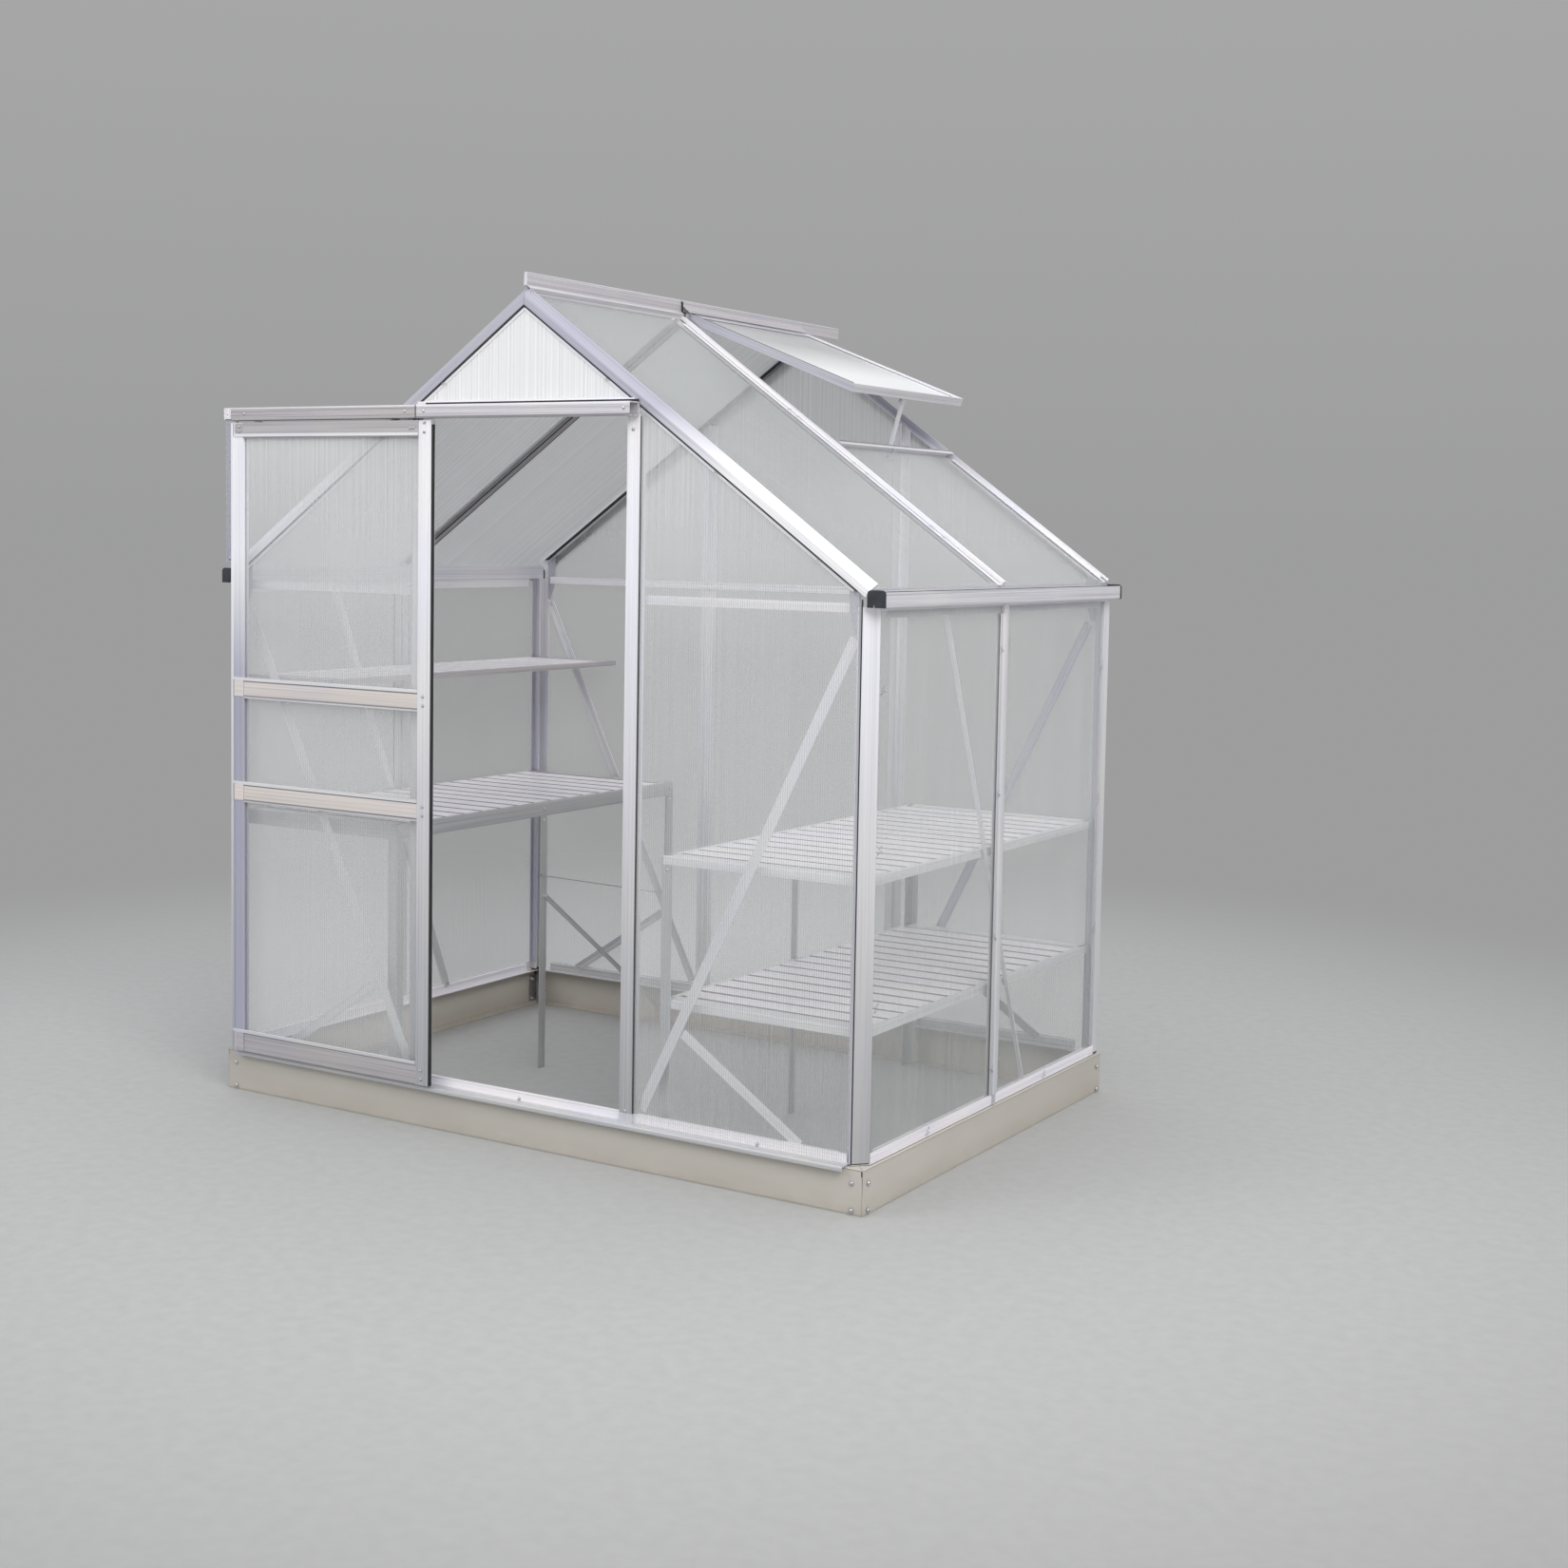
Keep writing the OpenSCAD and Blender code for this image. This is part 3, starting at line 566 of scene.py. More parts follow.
def plinth():
    """Four folded channels, mitred in their flanges, with a slot in each butt joint, and the bolts
    and the angle that hold each corner."""
    seam, web_depth = 1.3, 3.5
    slot_z0, slot_z1, slot_width = 88, 101, 3.2
    parts = [(0, slot_z0, False, True, 0.0), (slot_z0, slot_z1, False, False, slot_width),
             (slot_z1, BASE_H, True, False, 0.0)]
    for name, node, copies in (("plinth_front", "base_front", ONE), ("plinth_back", "base_back", BACK)):
        s = Solids(copies)
        for z0, z1, top, foot, notch in parts:
            def end(u, v):
                return HALF - 2 - seam - notch if u <= web_depth else HALF - u - seam

            s.prism(plinth_section(z0, z1, top, foot), ALONG_X, lambda u, v: -end(u, v), end, r=0)
        piece(name, s, node, slot="plinth_paint", mats=[PAINT])
    s = Solids(SIDES)
    s.prism(plinth_section(0, BASE_H, True, True), RIGHT_Y,
            lambda u, v: 0.3 if u <= web_depth else u + 1,
            lambda u, v: DEPTH - 0.3 if u <= web_depth else DEPTH - u - 1, r=0)
    piece("plinth_sides", s, "base_sides", slot="plinth_paint", mats=[PAINT])
    s = Solids(CORNERS)
    from_side, from_front = HALF - 30, 24.5
    for z in (10, 71):
        s.bolt((from_side, 0, z), -Y, 4.4, mat=0)
        s.bolt((HALF, from_front, z), X, 4.4, mat=0)
    for z in (10, 71):
        s.nut((from_side, 5.0, z), Y, 4.2)
        s.nut((HALF - 5.0, from_front, z), -X, 4.2)
    s.prism([(2.2, 2.2), (2.2, 42), (4.4, 42), (4.4, 4.4), (42, 4.4), (42, 2.2)], RIGHT_Z, 3, 84, 0, 0.5)
    s.box((HALF - 14, 2.3, slot_z0 - 3), (HALF - 2.3, 12, slot_z1 + 2), 1)
    piece("plinth_corner_bolts", s, mats=[STEEL, RUBBER])


# ---- sills ----
def sills():
    """Sill bars on the plinth: a ledge and a drip lip in front, a bright band on the other sides."""
    s = Solids()
    face = grooved((13, SILL_TOP), (13, BASE_H), [5, 16], 0.7)
    seat = [(38, BASE_H), (38, LEDGE), (22, LEDGE), (22, SILL_TOP)]
    # the seat, the corner ends and the side bands take the pale copy, with no darkening by height: painted
    # light
    s.prism(seat + face, ALONG_X, -HALF + BAR_END, HALF - BAR_END, BRIGHT, 0.4)
    lip = [(12.6, BASE_H), (12.6, LEDGE), (-14.6, LEDGE), (-16, 107.2), (-16, 97.6), (-15.4, 97), (-13.6, 97)]
    s.prism(lip + [(-13.6, BASE_H)], ALONG_X, -HALF + 46, HALF - 46)
    for x0, x1 in ((HALF - BAR_END, HALF - POST_W), (POST_W - HALF, BAR_END - HALF)):
        s.prism([(13, BASE_H), (15.5, BASE_H), (15.5, SILL_TOP)] + face[:-1], ALONG_X, x0, x1, BRIGHT, 0.4)
    for x in (-682, 0, 682):
        s.bolt((x, 13, 113), -Y, 3.2)
    piece("sill_bar_front", s, "sill_front", mats=SILL_METALS)
    s = Solids(BACK)
    crown = SILL_TOP + 2
    band = [(8, LEDGE), (8, crown - 0.6), (7.2, crown)] + grooved((6, crown), (6, BASE_H), [4.5, 20], 0.7)
    seat += [(13, SILL_TOP), (13, LEDGE)]
    s.prism(seat + band, ALONG_X, -HALF + BAR_END, HALF - BAR_END)
    for x in (-640, 0, 640):
        s.bolt((x, 6, 119), -Y, 3.2)
    piece("sill_bar_back", s, "sill_back", mats=SILL_METALS)
    s = Solids(SIDES)
    s.prism(seat + band, RIGHT_Y, BAR_END, DEPTH - BAR_END, BRIGHT)
    for y0, y1 in ((POST_W - 4, BAR_END), (DEPTH - BAR_END, DEPTH - POST_W + 4)):
        s.prism([(12.6, BASE_H), (12.6, LEDGE)] + band, RIGHT_Y, y0, y1, BRIGHT)
    piece("sill_bars_side", s, "side_sills", mats=SILL_METALS)


# ---- uprights ----
def posts():
    """Corner posts: a broad face at 45 degrees in front, square ones behind, and eave gussets."""
    s = Solids(SIDES)
    foot = BASE_H + 4.2
    face = [(36.5, 10.5), (8, 39), (8, 40.2)]
    inside = [(13, 40.2), (13, 50), (15.5, 50), (15.5, 38), (38, 15.5), (50, 15.5), (50, 13), (36.5, 13)]
    # the front posts take the upright copy, painted shade toward the foot, and the back ones the bright copy,
    # painted light
    s.prism(face + inside, RIGHT_Z, foot, EAVE, UPRIGHT, 0.4)
    s.prism(face + [(15.5, 40.2), (38, 15.5), (38, 10.5)], RIGHT_Z, BASE_H, BASE_H + 1.5, BRIGHT)
    s.prism([(36, 12), (9.5, 38.5), (15, 38.5), (36, 15)], RIGHT_Z, BASE_H + 1.5, foot, SEAL)
    # rubber and the narrow strip that closes the joint with the gable's sheet; the strip's lilac copy is
    # painted shade
    s.prism(rect(36.6, 10.2, 39.3, 13), RIGHT_Z, BASE_H + 3, EAVE + 16, SEAL)
    s.prism(rect(39.4, 9.6, 44.6, 13), RIGHT_Z, BASE_H + 3, EAVE + 10, LILAC)
    for z in (SILL_TOP + 14, EAVE - 12):
        s.bolt((HALF - 45, 13, z), -Y, 2.6, 0.8)
        s.bolt((HALF - 13, 45, z), X, 2.6, 0.8)
    s.copies = BACK_SIDES
    square = [(40.2, 8), (8, 8), (8, 40.5), (32, 40.5), (32, 38), (15.5, 38), (15.5, 15.5), (50, 15.5)]
    s.prism(square + [(50, 13), (40.2, 13)], RIGHT_Z, foot, EAVE, BRIGHT, 0.4)
    s.prism(rect(9, 9, 31, 39.5), RIGHT_Z, BASE_H, foot, SEAL)
    angle = [(13, 40.6), (32, 40.6), (32, 42.6), (15.5, 42.6), (15.5, 52), (13, 52)]
    # the angle and the gussets take the lilac copy: painted shade
    s.prism(angle, RIGHT_Z, SILL_TOP + 0.5, EAVE, LILAC)
    s.copies = CORNERS
    gusset = [(HALF - 74, 1400), (HALF - 46, 1380), (HALF - 46, 1268), (HALF - 57, 1268), (HALF - 72, 1317)]
    s.prism(gusset, ALONG_Y, 15.6, 17.6, LILAC, 0.8)
    piece("corner_post_bars", s, "corner_posts")


def jambs():
    """The two bars beside the doorway, each with a rubber along its sheet."""
    s = Solids(SIDES)
    plan = grooved((JAMB, 4), (JAMB_OUT, 4), [5, 17, 29], 0.8)
    plan += [(JAMB_OUT, 13), (350, 13), (350, 15.5), (335.5, 15.5), (335.5, 6.5), (306.5, 6.5), (306.5, 38)]
    # the jambs take the upright copy, painted shade toward the foot, and their foot the bright copy, painted
    # light
    s.prism(plan + [(JAMB, 38)], ALONG_Z, SILL_TOP, TRACK_Z0 + 2.5, UPRIGHT, 0.4)
    s.prism(rect(JAMB, 4, JAMB_OUT, 12), ALONG_Z, LEDGE, SILL_TOP, BRIGHT, 0.5)
    s.prism(rect(JAMB_OUT, 7.6, JAMB_OUT + 1.6, 13), ALONG_Z, SILL_TOP, TRACK_Z0, SEAL)
    for z in (136, 1716):
        s.bolt((JAMB + 17, 4, z), -Y, 3.2)
    piece("door_jamb_bars", s, "door_jambs")


def glazing_bar(s, place, outer, z0, z1, mat, far=7.5, near=None):
    """A bright cap outside, and the body that carries the sheets inside. outer is where the cap's
    face lies; near and far are how wide the strips are that lie on the two sheets."""
    base = min(outer + 4, SHEET_IN - 0.3)
    cap = [(outer + 0.8, -9), (outer, -8.2), (outer, far - 0.8), (outer + 0.8, far), (base, far), (base, -9)]
    # the cap takes the bright copy: painted light
    s.prism(cap, place, z0, z1, BRIGHT)
    if near:
        s.prism(rect(base - 1.8, -near, base, -9.2), place, z0, z1, mat)
    half = [(outer + 4, 6), (13, 6), (13, 26), (15.5, 26), (15.5, 1.5), (24, 1.5)]
    body = half + [(u, -v) for u, v in half[::-1]]
    s.prism(body, place, z0, z1, mat, 0.4)


def glazing_bars():
    """The bar in the middle of each side wall, the two in the back gable, and the spring clips."""
    foot = SILL_TOP + 2.2
    s = Solids(SIDES)
    place = Run(-X, Y, Z, (HALF, MID, 0))
    glazing_bar(s, place, 2.0, foot, EAVE - 26, 0, 15.5, 24)
    s.prism(rect(2.0, -9, 12.8, 15.5), place, EAVE - 26, EAVE - 0.5, BRIGHT, 0.5)
    s.prism(rect(2.0, -6, 5.8, 6), place, BASE_H, foot, 0, 0.5)
    for z in (194, 520, 870, 1219):
        s.clip((HALF - 6.0, MID - 17, z), Z, X, Y)
        s.clip((HALF - 8.5, MID + 24, z + 9), Z, X, Y)
    for z in (452, 800, 1150):
        s.clip((HALF - 8.5, DEPTH - 55, z), Z, X, Y, 0.8)
        s.clip((HALF - 8.5, 55, z), Z, X, Y, 0.8)
    for y in (305, 935):
        s.clip((HALF - 6.0, y, 119), Z, X, Y, 0.7)
    piece("wall_glazing_bars", s, "side_bars")
    s = Solids(BACK_SIDES)
    top = RIDGE_Z - 14 - TAN_R * (BACK_BAR + 26)
    glazing_bar(s, Run(Y, X, Z, (BACK_BAR, 0, 0)), 6.5, foot, top, BRIGHT)
    for z in (300, 700, 1100, 1500):
        s.clip((BACK_BAR - 16, 8.5, z), Z, -Y, X)
        s.clip((BACK_BAR + 16, 8.5, z + 9), Z, -Y, X)
    piece("back_glazing_bars", s, "back_mullions")


# ---- eaves ----
def gutters():
    """Gutters with two grooves outside and a rubber on the lip, and bright strips over the sheets."""
    s = Solids(SIDES)
    inn, out = HALF - 20, HALF + 21
    face = grooved((out, EAVE + 1.2), (out, EAVE + 33), [6, 25.5], 0.7, 1.8)
    wall = [(inn, EAVE), (out - 1.2, EAVE)] + face
    wall += [(out - 6, EAVE + 33), (out - 6, EAVE + 31), (out - 2.5, EAVE + 31), (out - 2.5, EAVE + 2.5)]
    wall += [(inn + 2.5, EAVE + 2.5), (inn + 2.5, EAVE + 39), (inn, EAVE + 39)]
    s.prism(wall, ALONG_Y, 7, DEPTH - 7, 0, 0.4)
    strip = rect(HALF - 15.5, EAVE - 25, HALF - 13, EAVE - 1)
    s.prism(strip, ALONG_Y, BAR_END, DEPTH - BAR_END, BRIGHT, 0.4)
    s.prism(rect(out - 6.2, EAVE + 33.1, out - 1, EAVE + 34.4), ALONG_Y, 8, DEPTH - 8, SEAL)
    s.prism(rect(HALF - 8.4, EAVE - 8, HALF - 6.9, EAVE - 0.8), ALONG_Y, 41, DEPTH - 41, BRIGHT)
    for y in (180, MID, DEPTH - 180):
        s.bolt((inn + 14, y, EAVE + 2.5), Z, 3.4)
    piece("gutter_channels", s, "gutters")


def gutter_caps():
    """Plastic caps with rounded tops and a notch in the foot, raised inside their rim."""
    s = Solids(CORNERS)
    lo, hi, z0, z1 = HALF - 22, HALF + 23, EAVE - 1, EAVE + 37
    round_r = 9
    for inset, y0, y1 in ((0, 2.9, 7), (4, 2.0, 2.9)):
        r = round_r - inset
        top = arc(hi - round_r, z1 - round_r, r, 0, 15, 6) + arc(lo + round_r, z1 - round_r, r, 90, 15, 6)
        z = z0 + inset
        notch = [(lo + 13, z), (lo + 13, z0 + 5), (lo + 19, z0 + 5), (lo + 19, z)]
        s.prism(top + [(lo + inset, z)] + notch + [(hi - inset, z)], ALONG_Y, y0, y1)
    piece("gutter_end_caps", s, "gutter_caps", slot="cap_plastic", mats=[BLACK])


# ---- roof bars ----
def ridge_cut(u, v):
    """Where a slope's profile meets the plane under the ridge."""
    return (0.5 - v * SIN_R) / COS_R


def gable_rafters():
    """The rafters of both gables, then the rubbers and glazing strips that lie along them."""
    s = Solids(CORNERS)
    cut = (HALF - 23) / COS_R
    # an upright lower flat, then a chamfer that leans back to the fold on top
    face = [(24, -2.6), (19.5, -2.6), (4.2, -20), (3.4, -21.4), (3.4, -37.2), (4.2, -38)]
    inside = [(6, -38), (6, -22.2), (21.5, -5.4), (21.5, -21.2), (40, -21.2), (40, -18.6), (24, -18.6)]
    s.prism(face + inside, SLOPE, ridge_cut, cut, 0, 0.25)
    s.prism(face + [(7.6, -38), (7.6, -23.5), (21.5, -8), (24, -8)], SLOPE, cut, RAFTER_L, 0, 0.25)
    # the rafters' copy of the metal darkens toward the ridge: painted shade
    piece("gable_rafter_bars", s, "gable_rafters", mats=[MILL_SLOPED])
    # rubber under the flange and the face, and the narrow glazing strip below it; on the back right copy the
    # flange's strip is bright metal, painted light
    s = Solids()
    for copies, mat in ((ONE, SEAL), (LEFT, SEAL), (BACK_LEFT, SEAL), (BACK, BRIGHT)):
        s.copies = copies
        s.prism(rect(23, -22.8, 41, -21.3), SLOPE, 40, cut - 20, mat)
    s.prism(rect(24.2, -14, 37, -12.2), SLOPE, VENT_SILL + 20, RAFTER_L - 2, BRIGHT)
    s.copies = CORNERS
    s.prism(rect(6.1, -37.5, 8.0, -24), SLOPE, 40, cut - 20, SEAL)
    s.prism(rect(3.6, -41.6, 8.3, -38.0), SLOPE, ridge_cut, RAFTER_L - 26, SEAL, 0.4)
    s.prism(rect(6.4, -48.5, 8.3, -41.7), SLOPE, ridge_cut, RAFTER_L - 34, BRIGHT)
    for d in (330, 700, 1030):
        s.clip(SLOPE.at(5.6, -45, d), SLOPE.w, -Y, SLOPE.v, 0.45)
    piece("gable_glazing_strips", s)


def mid_rafters():
    """The raised web between two roof sheets, on a wider chamber under them."""
    s = Solids(SIDES)
    place = Run(SLOPE.u, SLOPE.v, SLOPE.w, (0, MID, RIDGE_Z))
    web = [(-9, -3.8), (-8.2, -3), (-3, -3), (-2.4, -3.6), (-0.6, -3.6), (0, -3), (5.4, -3), (6, -3.6)]
    s.prism(web + [(6, -18.4), (-9, -18.4)], place, 16, RAFTER_L, BRIGHT, 0.2)
    # the chamber takes the bright copy on the right slope and the dim one on the left: painted light and
    # painted shade
    for copies, mat in ((ONE, BRIGHT), (LEFT, DIM)):
        s.copies = copies
        s.prism([(13, -18.4), (13, -27), (-13, -27), (-13, -18.4)], place, 16, RAFTER_L - 26, mat)
    s.copies = SIDES
    s.prism(rect(-10.2, -14, -9.1, -11.8), place, 16, RAFTER_L - 6, SEAL)
    s.prism(rect(-24, -14, -10.3, -12.2), place, 40, RAFTER_L, BRIGHT)
    s.prism(rect(5.9, -6.2, 7.4, -3.2), place, 16, RAFTER_L - 2, SEAL)
    for u in (11.4, -14.0):
        s.prism(rect(u, -28.6, u + 2.6, -25.6), place, 30, RAFTER_L - 30, SEAL, 0.4)
    # a dim strip along the chamber's underside: painted shade
    s.prism(rect(-11, -28, 11, -26.9), place, 30, RAFTER_L - 30, DIM, 0.2)
    for d in (438, 470, 672, 720, 940, 985):
        s.clip(place.at(-17.5, -SHEET_DROP + 2.3, d), SLOPE.w, SLOPE.v, Y, 0.5)
        s.clip(place.at(11.5, -SHEET_DROP + 0.6, d + 14), SLOPE.w, SLOPE.v, Y, 0.5)
    piece("mid_rafter_bars", s, "mid_rafters")


def ridge():
    """The ridge bar in two lengths with their bracket, the skirt plate and the vent's hinge fold."""
    s = Solids()
    z = RIDGE_Z
    w = 4.5
    half = [(w, z + 0.5 - TAN_R * w), (w, z + 20), (w - 0.8, z + 20.6), (w - 0.8, z + 21.6), (w, z + 22.2)]
    half += [(w, z + 24.6), (w - 0.9, z + 25.2), (w - 0.9, z + 26.2), (w, z + 26.8), (w, z + 28.6)]
    half += [(w - 1.2, z + 30)]
    whole = half + [(-x, h) for x, h in half[::-1]] + [(0, z + 0.5)]
    # the bar and the skirt take the soft copy, a little darker, and the hinge fold the shaded one: painted
    # shade
    s.prism(whole, ALONG_Y, 10, MID - 1.6, SOFT, 0.2)
    s.prism(whole, ALONG_Y, MID + 1.6, DEPTH + 159, SOFT, 0.2)
    s.box((-4, MID - 1.7, z - 10), (8.6, MID + 1.7, z + 26), SEAL)
    s.box((6, MID - 4, z - 12), (15, MID + 4, z - 2), SEAL)
    piece("ridge_bar", s, "ridge")
    s = Solids()
    skirt = [(5, 0.5), (16, 0.5), (16, -8.6), (18, -8.6), (18, 2.4), (17.2, 3), (5, 3)]
    s.prism(skirt, SLOPE_Y, 12, MID - 2, SOFT, 0.2)
    s.prism(rect(16.2, -SHEET_DROP + 0.2, 18.4, -8.7), SLOPE_Y, 12, MID - 2, BRIGHT)
    hinge = [(4.5, 15.6), (9, 13), (12, 10.8), (12.6, 11.4), (15.2, 9.4), (15, 8.4), (20, 4.8), (20.8, 5.4)]
    hinge += [(23, 3.6), (23, 2.6), (28, -1), (28, -3.5), (9, 10.5), (4.5, 13)]
    s.prism([(x, z + h) for x, h in hinge], ALONG_Y, MID + 4, DEPTH - 55, SHADED, 0.2)
    piece("ridge_flashing", s, "ridge_skirt")


# ---- door rail ----
def rail_section():
    """A grooved box open along its foot."""
    z0, z1 = TRACK_Z0, TRACK_Z1
    front = grooved((-36.8, z1 - 1), (-36.8, z0 + 1), [7, 12.5, 24], 0.8, 1.4)
    section = [(-36, z1)] + front + [(-36, z0), (-28, z0), (-28, z0 + 2.5), (-34.5, z0 + 2.5)]
    section += [(-34.5, z1 - 2.5), (-2, z1 - 2.5), (-2, z0 + 2.5), (-14, z0 + 2.5), (-14, z0)]
    return section + [(0.5, z0), (0.5, z1)]


def head_rail():
    """The rail that the door hangs in, with the plate and the white strip over the doorway."""
    s = Solids()
    rail = rail_section()
    # the rail takes the soft copy, a little darker: painted shade; the dim strip along the face's foot is
    # painted shadow under the lip
    s.prism(rail, ALONG_X, TRACK_JOINT, JAMB_OUT, SOFT, 0.2)
    s.prism(rect(-37.1, TRACK_Z0 + 0.3, -35.4, TRACK_Z0 + 4.3), ALONG_X, TRACK_JOINT, JAMB_OUT, DIM, 0.2)
    s.prism(rect(-1.2, TRACK_Z1 + 0.2, 0.5, TRACK_Z1 + 6.5), ALONG_X, TRACK_JOINT, JAMB_OUT, SEAL, 0.2)
    # the plate fills the doorway's head up to the rafters, and has a flange along its foot
    face_low = RIDGE_Z - 38.5 / COS_R
    shoulder = (face_low - HEADER_Z) / TAN_R
    foot, side = TRACK_Z0 + 3, face_low - TAN_R * JAMB_OUT
    plate = [(-JAMB_OUT, foot), (JAMB_OUT, foot), (JAMB_OUT, side), (shoulder, HEADER_Z)]
    s.prism(plate + [(-shoulder, HEADER_Z), (-JAMB_OUT, side)], ALONG_Y, 0.6, 3, 0, 0.4)
    s.prism(rect(3, foot, 22, TRACK_Z0 + 5.5), ALONG_X, -JAMB_OUT, JAMB_OUT, 0, 0.4)
    # white strip over the plate that holds the gable sheet
    z = HEADER_Z
    strip = [(3.2, z - 1), (8.3, z - 1), (8.3, z + 5), (6.6, z + 5), (6.6, z + 3), (3.2, z + 3)]
    s.prism(strip, ALONG_X, -shoulder - 4, shoulder + 4, BRIGHT)
    for x in (-270, JAMB_OUT - 16):
        s.bolt((x, -36.8, TRACK_Z0 + 16), -Y, 3.0, 0.33)
    piece("door_head_rail", s, "door_header")


def left_rail():
    """The rail's length over the open door, with its end bracket and the strap that carries it."""
    s = Solids()
    z0, z1 = TRACK_Z0, TRACK_Z1
    s.prism(rail_section(), ALONG_X, TRACK_X0, TRACK_JOINT - 4, SHADED, 0.2)
    s.prism(rect(-37.9, z0 + 1, 0.4, z1 - 1), ALONG_X, TRACK_X0, TRACK_X0 + 3.5, BRIGHT, 0.5)
    s.box((TRACK_X0 + 3.5, -37.5, z0 + 4), (TRACK_X0 + 22, -36, z1 - 3), BRIGHT)
    # a dim strip along the foot: painted shadow under the lip
    s.box((TRACK_X0 + 3.5, -37.2, z0 + 0.5), (TRACK_X0 + 26, -36, z0 + 3.9), DIM)
    for x in (TRACK_X0 + 12, TRACK_X0 + 70, -330):
        s.bolt((x, -37.0, z0 + 16), -Y, 2.6, 0.3)
    piece("door_rail_left", s, "track_extension")
    s = Solids()
    low = RIDGE_Z + TAN_R * TRACK_X0 - 18
    # the strap takes the lilac copy: painted shade
    s.prism(rect(TRACK_X0 - 34, low, TRACK_X0 + 12, z1), ALONG_Y, 0.6, 3.0, LILAC, 0.8)
    s.bolt((TRACK_X0 - 20, 0.6, low + 12), -Y, 3.6)
    piece("rail_hanger", s, "track_stay")


# ---- ties and braces ----
def ties():
    """Eave ties across both gables, crossed braces in the outer bays and one brace in each side wall."""
    s = Solids()
    z = EAVE
    bar = [(22, z - 14), (24, z - 14), (24, z - 5), (23.4, z - 4.4), (23.4, z - 2.6), (24, z - 2)]
    bar += [(24, z + 7), (22, z + 7)]
    # the ties take the pale copy: painted light
    for x0, x1 in ((JAMB_OUT + 10, HALF - 60), (60 - HALF, -JAMB_OUT - 10)):
        s.prism(bar, ALONG_X, x0, x1, BRIGHT)
    for x in (JAMB_OUT + 20, HALF - 72):
        for sx in (1, -1):
            s.bolt((sx * x, 24, EAVE - 9), Y, 3.4)
    s.copies = BACK
    s.prism(bar, ALONG_X, 60 - HALF, HALF - 60, BRIGHT)
    piece("wall_tie_bars", s, "wall_ties", slot="staging_aluminium", mats=SILL_METALS)
    s = Solids()
    plane = 22
    # the front copies of the braces take the bright metal, the back ones the plain and the lilac: painted
    # light and painted shade
    for copies, mat in ((ONE, BRIGHT), (LEFT, BRIGHT), (BACK_LEFT, 0), (BACK, LILAC)):
        s.copies = copies
        s.strip((JAMB_OUT + 16, plane, BASE_H + 34), (HALF - 60, plane, EAVE - 69), Y, 26, mat)
        s.strip((JAMB_OUT + 130, plane, BASE_H + 229), (HALF - 178, plane, BASE_H + 20), Y, 24, mat)
    piece("gable_brace_bars", s, "end_braces", slot="staging_aluminium")
    s = Solids(SIDES)
    s.strip((HALF - plane, DEPTH - 447, BASE_H + 18), (HALF - plane, 371, EAVE - 16), -X, 20, BRIGHT, 8.5)
    piece("side_brace_bars", s, "side_braces", slot="staging_aluminium")


# ---- twin-wall sheets ----
def span_at(outline, p):
    """Where a line at p along the first axis crosses a convex outline."""
    hits = []
    n = len(outline)
    for i in range(n):
        (a, b), (c, d) = outline[i], outline[(i + 1) % n]
        if (a - p) * (c - p) <= 0 and abs(a - c) > 1e-6:
            hits.append(b + (d - b) * (p - a) / (c - a))
    return (min(hits), max(hits)) if len(hits) > 1 else None


def twin_wall(s, outline, across, flute, depth, origin, near):
    """A sheet: one closed skin with its ribs inside, which run along the flutes. near is where the
    skin starts on the depth axis."""
    s.prism(outline, Run(across, flute, depth, origin), near, near + SHEET, r=0, flat=True)
    lo = min(point[0] for point in outline)
    hi = max(point[0] for point in outline)
    n = max(1, round((hi - lo) / RIB_PITCH))
    step = (hi - lo) / n
    place = Run(across, depth, flute, origin)
    for k in range(1, n):
        p = lo + step * k
        span = span_at(outline, p)
        if span and span[1] - span[0] > 6:
            rib = rect(p - 0.3, near + 0.35, p + 0.3, near + SHEET - 0.35)
            s.prism(rib, place, span[0] + 1, span[1] - 1, 1, 0)


def under_rafter(x):
    return RIDGE_Z - 24.5 / COS_R - TAN_R * abs(x)


def upright_sheet(s, x0, x1, z0):
    """A sheet of a gable from x0 to x1, cut to the slope of the roof."""
    outline = [(x0, z0), (x1, z0), (x1, under_rafter(x1))]
    if x0 < 0 < x1:
        outline.append((0, under_rafter(0)))
    twin_wall(s, outline + [(x0, under_rafter(x0))], X, Z, Y, (0, 0, 0), SHEET_IN)


def sheet_piece(name, s, node, skin, body="shell"):
    piece(name, s, node, body=body, slot="twin_wall_sheet", mats=[skin, RIB])


def gable_sheets():
    """The front's two tall sheets and the one over the door, and the back's three."""
    low, corner = LEDGE + 1, HALF - POST_W
    s = Solids(SIDES)
    upright_sheet(s, JAMB_OUT + 1, corner, low)
    sheet_piece("front_sheets", s, "front_panels", SKIN)
    s = Solids()
    upright_sheet(s, -JAMB - 26, JAMB + 26, HEADER_Z + 1)
    sheet_piece("gable_sheet", s, "gable_panel", SKIN_GABLE)
    s = Solids(BACK)
    gap = 6.5
    for x0, x1 in ((BACK_BAR + gap, corner), (-corner, -BACK_BAR - gap), (gap - BACK_BAR, BACK_BAR - gap)):
        upright_sheet(s, x0, x1, low)
    sheet_piece("back_sheets", s, "back_panels", SKIN_BACK)


def wall_sheets():
    """Two sheets in each side wall, on both sides of its middle bar."""
    for side, copies in (("right", ONE), ("left", LEFT)):
        s = Solids(copies)
        for y0, y1 in ((40.5, MID - 6.5), (MID + 6.5, DEPTH - 40.5)):
            twin_wall(s, rect(y0, LEDGE + 1, y1, EAVE - 0.5), Y, Z, -X, (HALF, 0, 0), SHEET_IN)
        sheet_piece(side + "_wall_sheets", s, side + "_panels", SKIN_SIDE)


